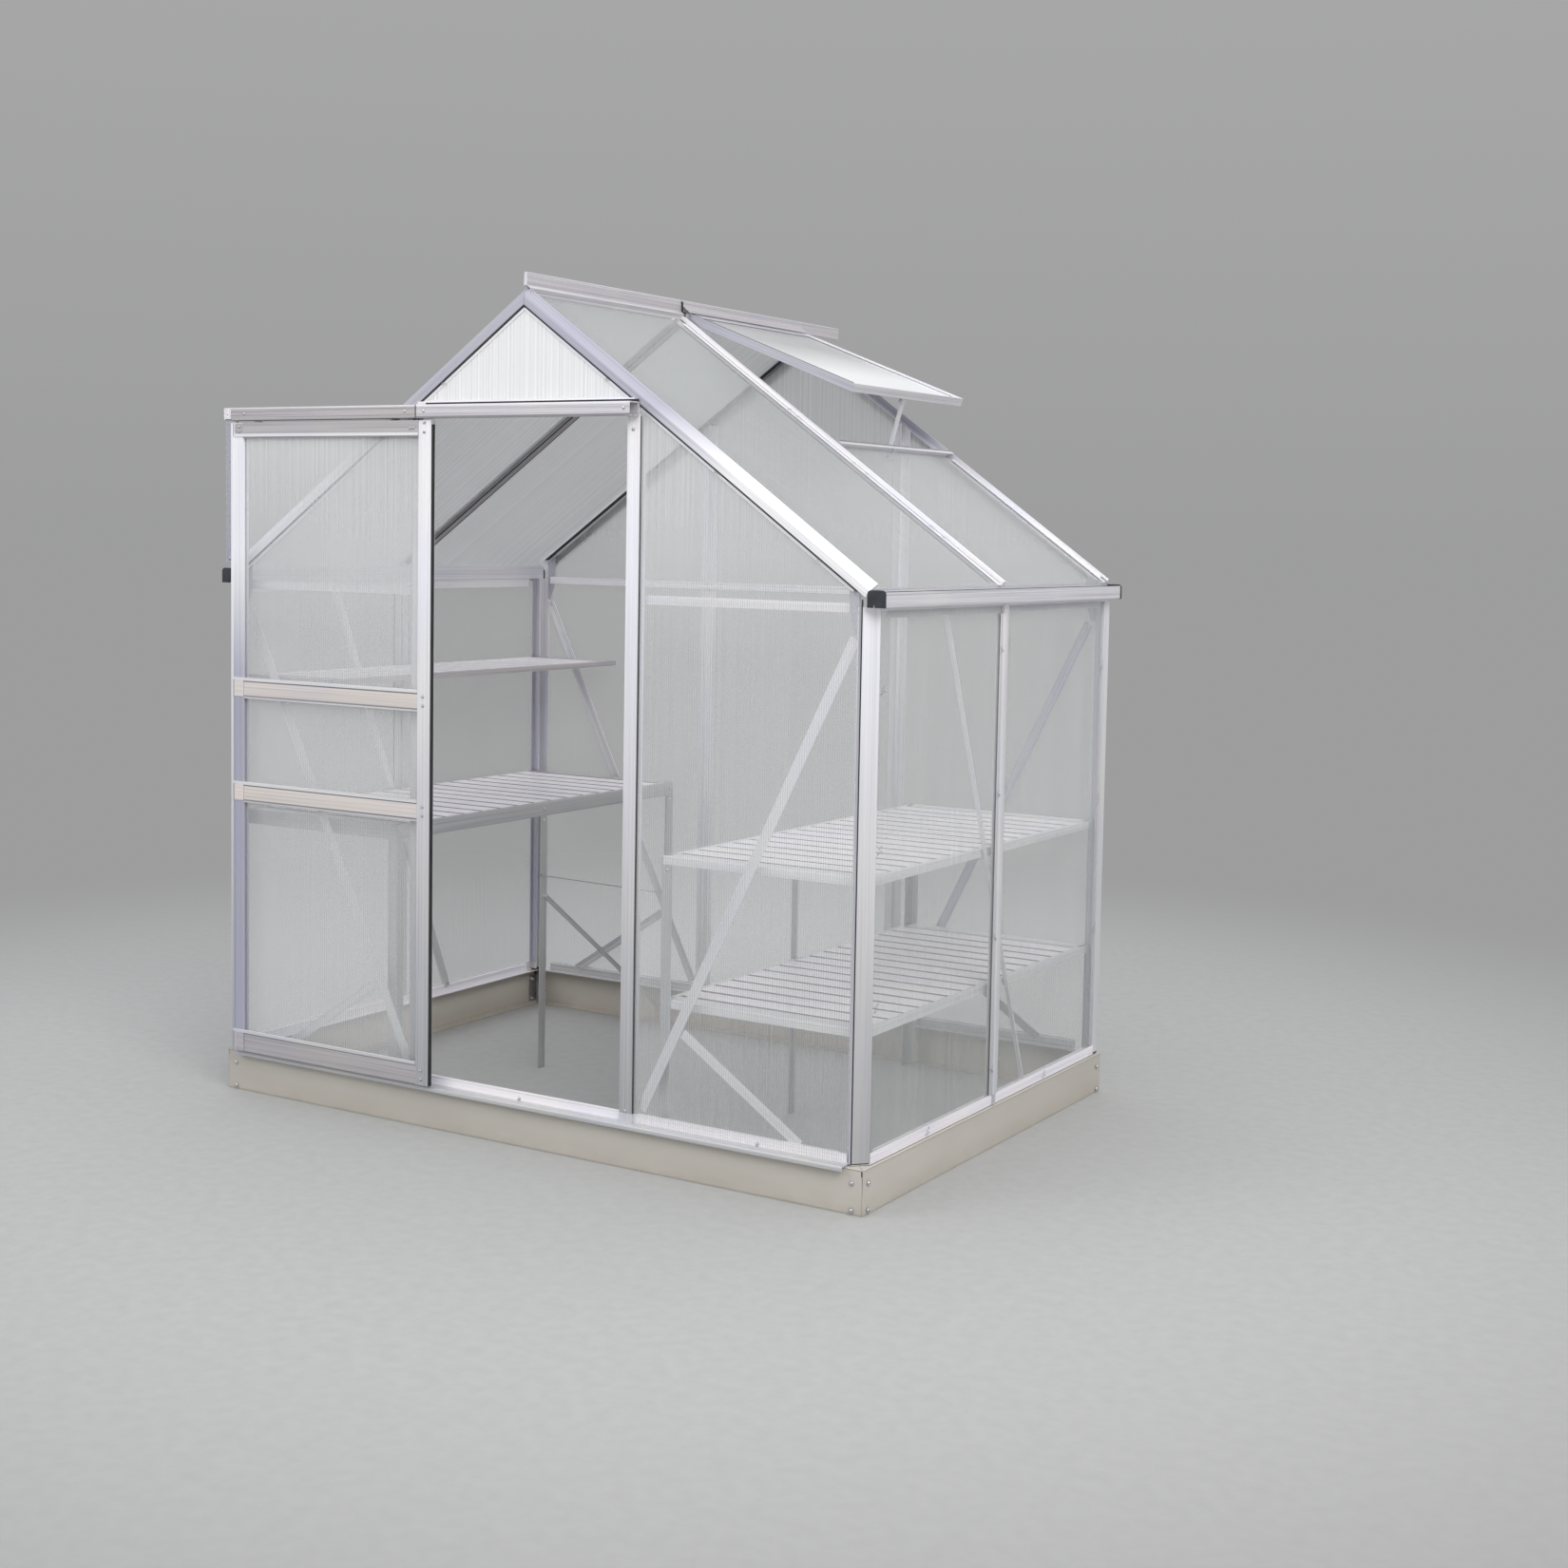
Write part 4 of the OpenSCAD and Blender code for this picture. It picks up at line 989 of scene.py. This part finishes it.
def roof_sheets():
    """Two full sheets on the left; a full one and the one below the vent on the right; the vent's own."""
    front, back = (24.3, MID - 10.6), (MID + 7.6, DEPTH - 24.3)
    jobs = [("left_roof_sheets", "left_roof_panels", LEFT, SKIN_LEFT, [(front, 20), (back, 20)]),
            ("right_roof_sheet", "right_roof_panel", ONE, SKIN_ROOF, [(front, 20)]),
            ("roof_sheet_below_vent", "roof_panel_below_vent", ONE, SKIN_ROOF, [(back, VENT_SILL + 3)])]
    for name, node, copies, skin, spans in jobs:
        s = Solids(copies)
        for (y0, y1), start in spans:
            outline = rect(y0, start, y1, RAFTER_L + 1)
            twin_wall(s, outline, Y, SLOPE.w, -SLOPE.v, SLOPE.origin, SHEET_DROP)
        sheet_piece(name, s, node, skin)
    s = Solids()
    twin_wall(s, rect(VENT_Y0 + 6, 6, VENT_Y1 - 6, VENT_L - 6), Y, VENT_D, -VENT_N, VENT.origin, -16.0)
    sheet_piece("vent_sheet", s, "vent_panel", SKIN_VENT)


def door_sheets():
    """Three sheets, one over each rail but the top one."""
    s = Solids()
    for low, high in zip(RAILS, RAILS[1:]):
        outline = rect(DOOR_X0 + 37, low[1] + 0.5, DOOR_X1 - 31, high[0] - 0.5)
        twin_wall(s, outline, X, Z, Y, (0, 0, 0), -23.0)
    sheet_piece("door_sheets", s, "door_panels", SKIN, "door")


# ---- roof vent ----
def vent_sill():
    """The bar that the shut vent would land on, with its seal and the stay's lower lug."""
    s = Solids()
    a = VENT_SILL
    bar = [(a - 5, -2.4), (a - 5, 0), (a + 10, 0), (a + 10, -2.4), (a + 1.5, -2.4), (a + 1.5, -21)]
    s.prism(bar + [(a - 1.5, -21), (a - 1.5, -2.4)], SLOPE_Y, MID + 26, DEPTH - 36)
    for y0, y1 in ((MID + 14, MID + 25.9), (DEPTH - 35.9, DEPTH - 23)):
        s.prism(rect(a - 5, -2.4, a + 10, 0), SLOPE_Y, y0, y1)
    s.prism(rect(a - 5.2, 0.05, a + 0.5, 0.7), SLOPE_Y, MID + 14, DEPTH - 23, DIM, 0.2)
    z = RIDGE_Z
    lug = [(450, z - 369), (478, z - 369), (478, z - 341), (462, z - 341), (450, z - 356)]
    s.prism(lug, ALONG_Y, STAY_Y - 2, STAY_Y - 0.1, 0, 0.8)
    s.bolt((457, STAY_Y - 2, RIDGE_Z - 362), -Y, 3.0)
    piece("vent_landing_bar", s, "vent_sill")


def vent_frame():
    """Four mitred bars with a ledge under the sheet and a lip over it, and the stay's upper lug."""
    s = Solids()
    section = [(0, 0), (2.5, 0), (2.5, 8.6), (24, 8.6), (24, 11), (5, 11), (5, 17), (13, 17), (13, 19)]
    section += [(4, 19), (4, 22), (0, 22)]
    front = Run(Y, VENT_N, VENT_D, VENT.origin + Y * VENT_Y0)
    back = Run(-Y, VENT_N, VENT_D, VENT.origin + Y * VENT_Y1)
    bottom = Run(-VENT_D, VENT_N, Y, VENT.origin + VENT_D * VENT_L)
    top = Run(VENT_D, VENT_N, Y, VENT.origin)

    def mitred(run, start, end, mat=0):
        s.prism(section, run, lambda u, v: start + u, lambda u, v: end - u, mat)

    # the near bar takes the lilac copy: painted shade
    mitred(front, 0, VENT_L, LILAC)
    s.prism(rect(0.6, 21.9, 3.2, 23.1), front, 4, VENT_L - 4, SEAL)
    mitred(back, 0, VENT_L)
    mitred(bottom, VENT_Y0, VENT_Y1)
    mitred(top, VENT_Y0, VENT_Y1)
    lug = Run(VENT_D, VENT_N, Y, VENT.origin + VENT_D * (VENT_L - 24))
    outline = [(0, -16), (20, -16), (20, 2), (17, 8.8), (3, 8.8), (0, 2)]
    s.prism(outline, lug, STAY_Y - 2, STAY_Y - 0.1, 0, 0.8)
    s.bolt(VENT.at(STAY_Y - 2, -9, VENT_L - 16), -Y, 3.0)
    corner = VENT.at(VENT_Y0 + 3, 8, VENT_L - 18)
    s.box(corner, corner + Vector((7, 12, 3)), ZINC)
    piece("vent_frame_bars", s, "vent_frame")


def vent_stay():
    """A ribbed strap with a row of eyelets, from the sill's lug to the frame's."""
    s = Solids()
    reach = VENT_L - 16
    foot = Vector((455, STAY_Y, RIDGE_Z - 372))
    head_x, head_z = reach * math.cos(VENT_ANGLE), reach * math.sin(VENT_ANGLE)
    head = Vector((HINGE_X + head_x, STAY_Y, HINGE_Z - head_z - 14))
    d = (head - foot).normalized()
    section = [(-6.5, 0), (6.5, 0), (6.5, 2), (2.4, 2), (1.8, 1.4), (-1.8, 1.4), (-2.4, 2), (-6.5, 2)]
    s.prism(section, Run(d.cross(Y), Y, d, foot), 0, (head - foot).length)
    for k in range(5):
        s.lathe([(2.6, 1.35), (2.6, 2.2), (1.9, 2.4), (1.7, 1.9)], foot + d * (22 + 26 * k), Y, 12, ZINC)
    piece("vent_strap", s, "vent_stay")


# ---- door ----
def door_stiles():
    """Both stiles with their grooves, and a bright strip along the outer edge."""
    s = Solids()
    face, back, open_y, shut_y = DOOR_FACE, -12, -23.5, -18.5
    left = [(0, -28.8), (1.2, face)] + grooved((1.3, face), (43, face), [8, 13, 35], 0.8, 1.4)
    left += [(44, -29), (44, open_y), (36, open_y), (36, shut_y), (44, shut_y), (44, back), (0, back)]
    place = Run(X, Y, Z, (DOOR_X0, 0, 0))
    # the left stile takes the stile copy, lilac and darker toward its foot, and its outer strip and the right
    # stile the upright copy: painted shade below and painted light above
    s.prism(left, place, DOOR_Z0, DOOR_Z1, STILE)
    s.prism(rect(0.6, -30.8, 8.4, -29.5), place, DOOR_Z0, DOOR_Z1, UPRIGHT)
    right = [(38, -28.8), (38, back), (0, back), (0, shut_y), (8, shut_y), (8, open_y), (0, open_y), (0, -29)]
    right += [(1, face)] + grooved((1.1, face), (36.8, face), [8, 27, 31], 0.8, 1.4)
    s.prism(right, Run(X, Y, Z, (DOOR_X1 - 38, 0, 0)), DOOR_Z0, DOOR_Z1, UPRIGHT)
    for z0, z1 in RAILS:
        middle = (z0 + z1) / 2
        for z in (middle - 11, middle + 11):
            s.bolt((DOOR_X1 - 19, face, z), -Y, 3.0)
    piece("door_stile_bars", s, "door_stiles", body="door")


def door_rails():
    """Four rails that lap over the left stile. The lower three have a bright lip along the top, with
    a dark line under it, and the top one has a white lip along its foot. The bright lips and white
    edges are painted light, and the dark lines, under the lips, under the rails and beside the lap, painted
    shade."""
    s = Solids()
    x0, x1 = DOOR_X0 + 44, DOOR_X1 - 38
    lap = DOOR_X0 + 12
    for k, (z0, z1) in enumerate(RAILS):
        middle = k in (1, 2)
        mat = WARM if middle else SHADED
        section = grooved((-29, z1 - 0.6), (-29, z0 + 0.6), [4.5], 0.8, 1.5)
        s.prism(section + [(-28.4, z0), (-13, z0), (-13, z1), (-28.4, z1)], ALONG_X, x0, x1, mat, 0.2)
        section = grooved((-31.4, z1 - 0.6), (-31.4, z0 + 0.6), [6, z1 - z0 - 8], 0.7, 1.5)
        section += [(-31, z0), (-30.05, z0), (-30.05, z1), (-31, z1)]
        s.prism(section, ALONG_X, lap, x0 - 0.1, mat, 0.2)
        # a white edge at the lap, painted light, and the dim strip beside it, painted shadow
        s.box((lap - 0.2, -31.6, z0), (lap + 3, -30, z1), BRIGHT)
        s.box((lap - 3, -31, z0), (lap - 0.3, -30, z1 - 3), DIM)
        if k < 3:
            s.prism(rect(-31.6, z1 - 3, -30.05, z1 + 5), ALONG_X, lap - 5, x0, BRIGHT, 0.4)
            s.prism(rect(-31.6, z1 - 3, -27.5, z1 + 5), ALONG_X, x0 + 0.1, x1, BRIGHT, 0.4)
            # a dim strip under the lip: painted shade
            s.prism(rect(-29.5, z1 - 6, -28.6, z1 - 3.1), ALONG_X, x0, x1, DIM, 0.2)
        if middle:
            # a dim strip at the rail's foot: painted shadow
            s.prism(rect(-29.6, z0, -28.6, z0 + 3.4), ALONG_X, x0, x1, DIM, 0.2)
            s.prism(rect(-29.3, z0 - 4.5, -27.5, z0 - 0.1), ALONG_X, x0, x1)
    s.prism(rect(-28.8, DOOR_Z0 + 0.2, -28.0, DOOR_Z0 + 2.2), ALONG_X, DOOR_X0 + 45, DOOR_X1 - 39, SEAL, 0)
    z0, z1 = RAILS[3]
    s.prism([(-31.4, z0), (-31.4, z1), (-29.1, z1), (-29.1, z0)], ALONG_X, x0, x1, SHADED, 0.2)
    # a white lip along the top rail's foot, painted light, and a dim strip under it, painted shadow
    s.prism(rect(-31.9, z0 - 2, -31.45, z0 + 5), ALONG_X, lap, x1, BRIGHT, 0.1)
    s.prism(rect(-31.4, z0 - 5, -27.5, z0 - 0.1), ALONG_X, x0, x1, DIM)
    for x, z in ((DOOR_X0 + 31, 12), (DOOR_X0 + 31, 23), (DOOR_X1 - 63, 15), (DOOR_X1 - 53, 15)):
        s.bolt((x, -31.4, z0 + z), -Y, 2.6)
    piece("door_rail_bars", s, "door_rails", body="door")


def door_fittings():
    """The black seal on the closing edge, and the two rollers with their hangers."""
    s = Solids()
    x = DOOR_X1
    seal = [(x, -26), (x + 1.6, -26), (x + 4, -24.4), (x + 4, -17.6), (x + 1.6, -16), (x, -16)]
    s.prism(seal, ALONG_Z, DOOR_Z0, DOOR_Z1 - 10, 0, 0.4)
    piece("door_edge_seal", s, "door_seal", body="door", slot="seal_rubber", mats=[RUBBER])
    s = Solids()
    yc = -21.0
    rim = [(3, -8), (7.4, -8), (8.5, -7), (8.5, -4.6), (7.0, -3.4)]
    wheel = rim + [(r, -h) for r, h in rim[::-1]]
    for x in (DOOR_X0 + 90, DOOR_X1 - 90):
        s.box((x - 14, yc - 1.5, DOOR_Z1), (x + 14, yc + 1.5, DOOR_Z1 + 17), 1)
        s.lathe(wheel, (x, yc, DOOR_Z1 + 17), Y, 28)
        s.lathe([(2.4, -9.6), (2.4, 9.6), (1.6, 10)], (x, yc, DOOR_Z1 + 17), Y, 10, 1)
    piece("door_wheels", s, "door_rollers", body="door", slot="roller_plastic", mats=[ROLLER, STEEL])


# ---- staging ----
def tray(s, w, h, top, inset=0.0, rim_mat=BRIGHT):
    """A tray of width w: rolled slats on a folded rim of depth h."""
    a, b = BENCH_Y0 + inset, BENCH_Y1 - inset
    run_x = Run(Y, Z, -X, (HALF - BENCH_IN, 0, 0))
    run_y = Run(-X, Z, Y, (HALF - BENCH_IN, 0, 0))
    pitch = (b - a - 40) / SLAT_STEPS
    half = (pitch - 18) / 2
    lip_z = top - 1.2
    for i in range(1, SLAT_STEPS):
        y = a + 20 + pitch * i
        slat = [(y - half, lip_z), (y - half + 1, top), (y + half - 1, top), (y + half, lip_z)]
        # the slats take the pale copy and the lips under them the dim one: painted light on top, painted
        # shade in the gaps
        s.prism(slat, run_x, 12.5, w - 12.5, SLAT, 0)
        for edge in (y - half, y + half - 1):
            s.prism(rect(edge, top - 7, edge + 1, lip_z), run_x, 12.5, w - 12.5, SLAT_LIP, 0)
    foot, under, fold = top - h, top - 2, 14.0
    rim = [(0, foot), (fold, foot), (fold, foot + 1.6), (2, foot + 1.6), (2, under), (fold, under)]
    rim += [(fold, top), (1, top), (0, top - 1)]
    far_rim = [(w - u, v) for u, v in rim]
    s.prism(far_rim, run_y, lambda u, v: a + max(0, w - u - 2), lambda u, v: b - max(0, w - u - 2), rim_mat)
    s.prism(rim, run_y, lambda u, v: a + max(0, u - 2), lambda u, v: b - max(0, u - 2), rim_mat)
    # the ends: the same fold below, and on top a flange as wide as half a slat more
    wide = 20 + pitch / 2 - 9
    for y, way in ((a, 1), (b, -1)):
        end = [(0, foot), (14, foot), (14, foot + 1.6), (2, foot + 1.6), (2, under), (wide - 1, under)]
        end += [(wide - 1, top - 7), (wide, top - 7), (wide, top), (1, top), (0, top - 1)]
        end = [(y + way * u, v) for u, v in end]

        def mitre(base, sign):
            return lambda u, v: base + sign * (max(0.0, min(abs(u - y), fold) - 2) + 0.3)

        s.prism(end, run_x, mitre(0, 1), mitre(w, -1), rim_mat)
    for y in (60, MID - 1.5, DEPTH - 63):
        s.box((HALF - BENCH_IN + 0.2, y, foot), (HALF - 22, y + 3, under))


def legs(s, w, top):
    """An angle at each end and a flat ribbed leg in the middle, all along the tray's free side."""
    x = HALF - BENCH_IN - w
    for y, way in ((BENCH_Y0, 1), (BENCH_Y1, -1)):
        angle = [(0, 0), (28, 0), (28, 2.5), (2.5, 2.5), (2.5, 28), (0, 28)]
        s.prism([(x + u, y + way * v) for u, v in angle], ALONG_Z, 0, top + 0.4, 0, 0.5)
        s.bolt((x, y + way * 16, top - 12), -X, 3.6)
        s.bolt((x + 16, y, top - 12), Y * -way, 3.6)
    flat = [(0, -28), (2.5, -28), (2.5, -18), (4.0, -16.4), (4.0, -11.6), (2.5, -10), (2.5, 0), (0, 0)]
    s.prism([(x + u, MID + v) for u, v in flat], ALONG_Z, 0, top + 0.4, 0, 0.4)
    s.bolt((x, MID - 14, top - 12), -X, 3.6)


def staging_piece(name, s, node):
    piece(name, s, node, slot="staging_aluminium", mats=STAGING_METALS)


def staging():
    """Left: a tray on legs with a diagonal brace and a rod, and the wall shelf. Right: two trays."""
    s = Solids(LEFT)
    x = HALF - BENCH_IN - LEFT_W
    tray(s, LEFT_W, 38.0, BENCH_Z, rim_mat=0)
    for y in (BENCH_Y0 + 16, MID - 14, BENCH_Y1 - 16):
        s.bolt((x, y, BENCH_Z - 19), -X, 3.6)
    staging_piece("left_bench", s, "bench_left_tray")
    s = Solids(LEFT)
    legs(s, LEFT_W, BENCH_Z - 38)
    staging_piece("left_bench_legs", s, "bench_left_legs")
    s = Solids(LEFT)
    s.strip((x, MID - 12, 482), (x, DEPTH - 50, 28), -X, 14)
    rod = [(MID - 26, 544), (MID - 20, 536), (DEPTH - 52, 401), (DEPTH - 44, 395)]
    s.wire([(x - 1.6, y, z) for y, z in rod], 1.6, 0, 8)
    staging_piece("left_bench_braces", s, "bench_left_braces")
    s = Solids()
    # the right trays' rims take the bright copy, and the shelf's the shaded one: painted light and painted
    # shade
    tray(s, RIGHT_W, 20.0, BENCH_Z)
    tray(s, RIGHT_W - 2.5, 20.0, TRAY_Z, 2.5)
    staging_piece("right_bench", s, "bench_right_trays")
    s = Solids()
    legs(s, RIGHT_W, BENCH_Z - 20)
    staging_piece("right_bench_legs", s, "bench_right_legs")
    s = Solids(LEFT)
    tray(s, SHELF_W, 15.0, SHELF_Z, rim_mat=SHADED)
    staging_piece("wall_shelf", s, "upper_shelf")


# ---- camera, light and floor ----
def camera():
    """Stands where the photographer stood, at the greenhouse's front right. The angles are in
    radians, and the two shifts set the lens off its middle."""
    heading, dip, roll = 0.5293, 0.0720, 0.0197
    stand = Vector((3.1975, -3.9554 + Y0 * MM, 1.4858))
    forward = Vector((math.sin(-heading) * math.cos(dip), math.cos(heading) * math.cos(dip), -math.sin(dip)))
    level = forward.cross(Z).normalized()
    up = level.cross(forward)
    right = level * math.cos(roll) + up * math.sin(roll)
    top = up * math.cos(roll) - level * math.sin(roll)
    data = bpy.data.cameras.new("camera")
    data.sensor_width = 36.0
    data.lens = 48.786764
    data.shift_x, data.shift_y = -0.0362061, -0.0614182
    data.clip_start, data.clip_end = 0.05, 200.0
    obj = in_scene("camera", data)
    obj.matrix_world = Matrix.Translation(stand) @ Matrix((right, top, -forward)).transposed().to_4x4()
    bpy.context.scene.camera = obj


# the grey of the backdrop at its foot, which the floor turns into
BACKDROP = 0.34


def seen(graph):
    """1 for rays from the camera, in a reflection or through glass, and 0 for light."""
    path = graph.nodes.new("ShaderNodeLightPath").outputs
    last = path["Is Camera Ray"]
    for name in ("Is Glossy Ray", "Is Transmission Ray"):
        last = graph.calc("MAXIMUM", last, path[name])
    return last


def sky():
    """A cool white light from above, and a backdrop that is only seen: grey at the foot, pale on top."""
    world = bpy.data.worlds.new("studio")
    bpy.context.scene.world = world
    world.use_nodes = True
    graph = Graph(world.node_tree)
    graph.nodes.clear()
    out = graph.nodes.new("ShaderNodeOutputWorld")
    height = graph.height(graph.place("Generated"))
    strength = graph.spread(height, 0.5, 1.08, 0.0, 1.0)
    light = graph.node("Background", {"Color": (0.96, 0.98, 1.0), "Strength": strength})
    greys = ((0.0, BACKDROP), (0.26, BACKDROP * 1.15), (0.5, 0.9), (0.9, 0.97))
    shade = graph.ramp(height, *[(at, (v, v, v * 1.01)) for at, v in greys])
    backdrop = graph.node("Background", {"Color": shade, "Strength": 1.0})
    both = graph.node("MixShader", {0: seen(graph), 1: light, 2: backdrop})
    graph.put(both, out.inputs["Surface"])


def floor_material():
    """A matt grey floor that turns into the backdrop's grey further out."""
    m = Surface("studio_floor")
    place = m.place()
    specks = m.noise(place, (30, 30, 30), 3.0)
    m.set("Base Color", m.ramp(specks, (0.3, (0.43, 0.43, 0.425)), (0.7, (0.46, 0.46, 0.455))))
    m.set("Roughness", 0.9)
    m.set("Specular IOR Level", 0.1)
    glow = m.node("Emission", {"Color": (BACKDROP, BACKDROP, BACKDROP)})
    distance = m.node("VectorMath", {0: place}, "Value", operation="LENGTH")
    fade = m.spread(distance, 0.0, 1.0, 1.6, 4.2, "SMOOTHSTEP")
    both = m.node("MixShader", {0: m.calc("MULTIPLY", fade, seen(m)), 1: m.bsdf.outputs[0], 2: glow})
    m.put(both, m.nodes["Material Output"].inputs["Surface"])
    return m.material


def floor():
    mesh = bpy.data.meshes.new("floor")
    r = 60.0
    mesh.from_pydata([(-r, -r, 0), (r, -r, 0), (r, r, 0), (-r, r, 0)], [], [[0, 1, 2, 3]])
    mesh.materials.append(floor_material())
    obj = in_scene("floor", mesh)
    obj.location.z = -0.0006


def lamp(name, at, power, colour):
    """A round lamp, 4 m across, that points at the middle of the greenhouse."""
    data = bpy.data.lights.new(name, "AREA")
    data.shape = "DISK"
    data.size = 4.0
    data.energy = power
    data.color = colour
    obj = in_scene(name, data)
    obj.location = at
    obj.rotation_euler = (Vector((0, 0, 0.9)) - Vector(at)).to_track_quat("-Z", "Y").to_euler()
    obj.visible_camera = False


def surroundings():
    sky()
    floor()
    lamp("key", (4.8, -3.8, 5.2), 240, (1.0, 0.985, 0.96))
    lamp("fill", (-4.2, -5.5, 4.8), 110, (0.95, 0.97, 1.0))
    scene = bpy.context.scene
    scene.view_settings.view_transform = "Standard"
    scene.cycles.transparent_max_bounces = 48
    scene.cycles.max_bounces = 6


camera()
plinth()
sills()
posts()
jambs()
glazing_bars()
gutters()
gutter_caps()
gable_rafters()
mid_rafters()
ridge()
head_rail()
left_rail()
ties()
gable_sheets()
wall_sheets()
roof_sheets()
door_sheets()
vent_sill()
vent_frame()
vent_stay()
door_stiles()
door_rails()
door_fittings()
staging()
surroundings()
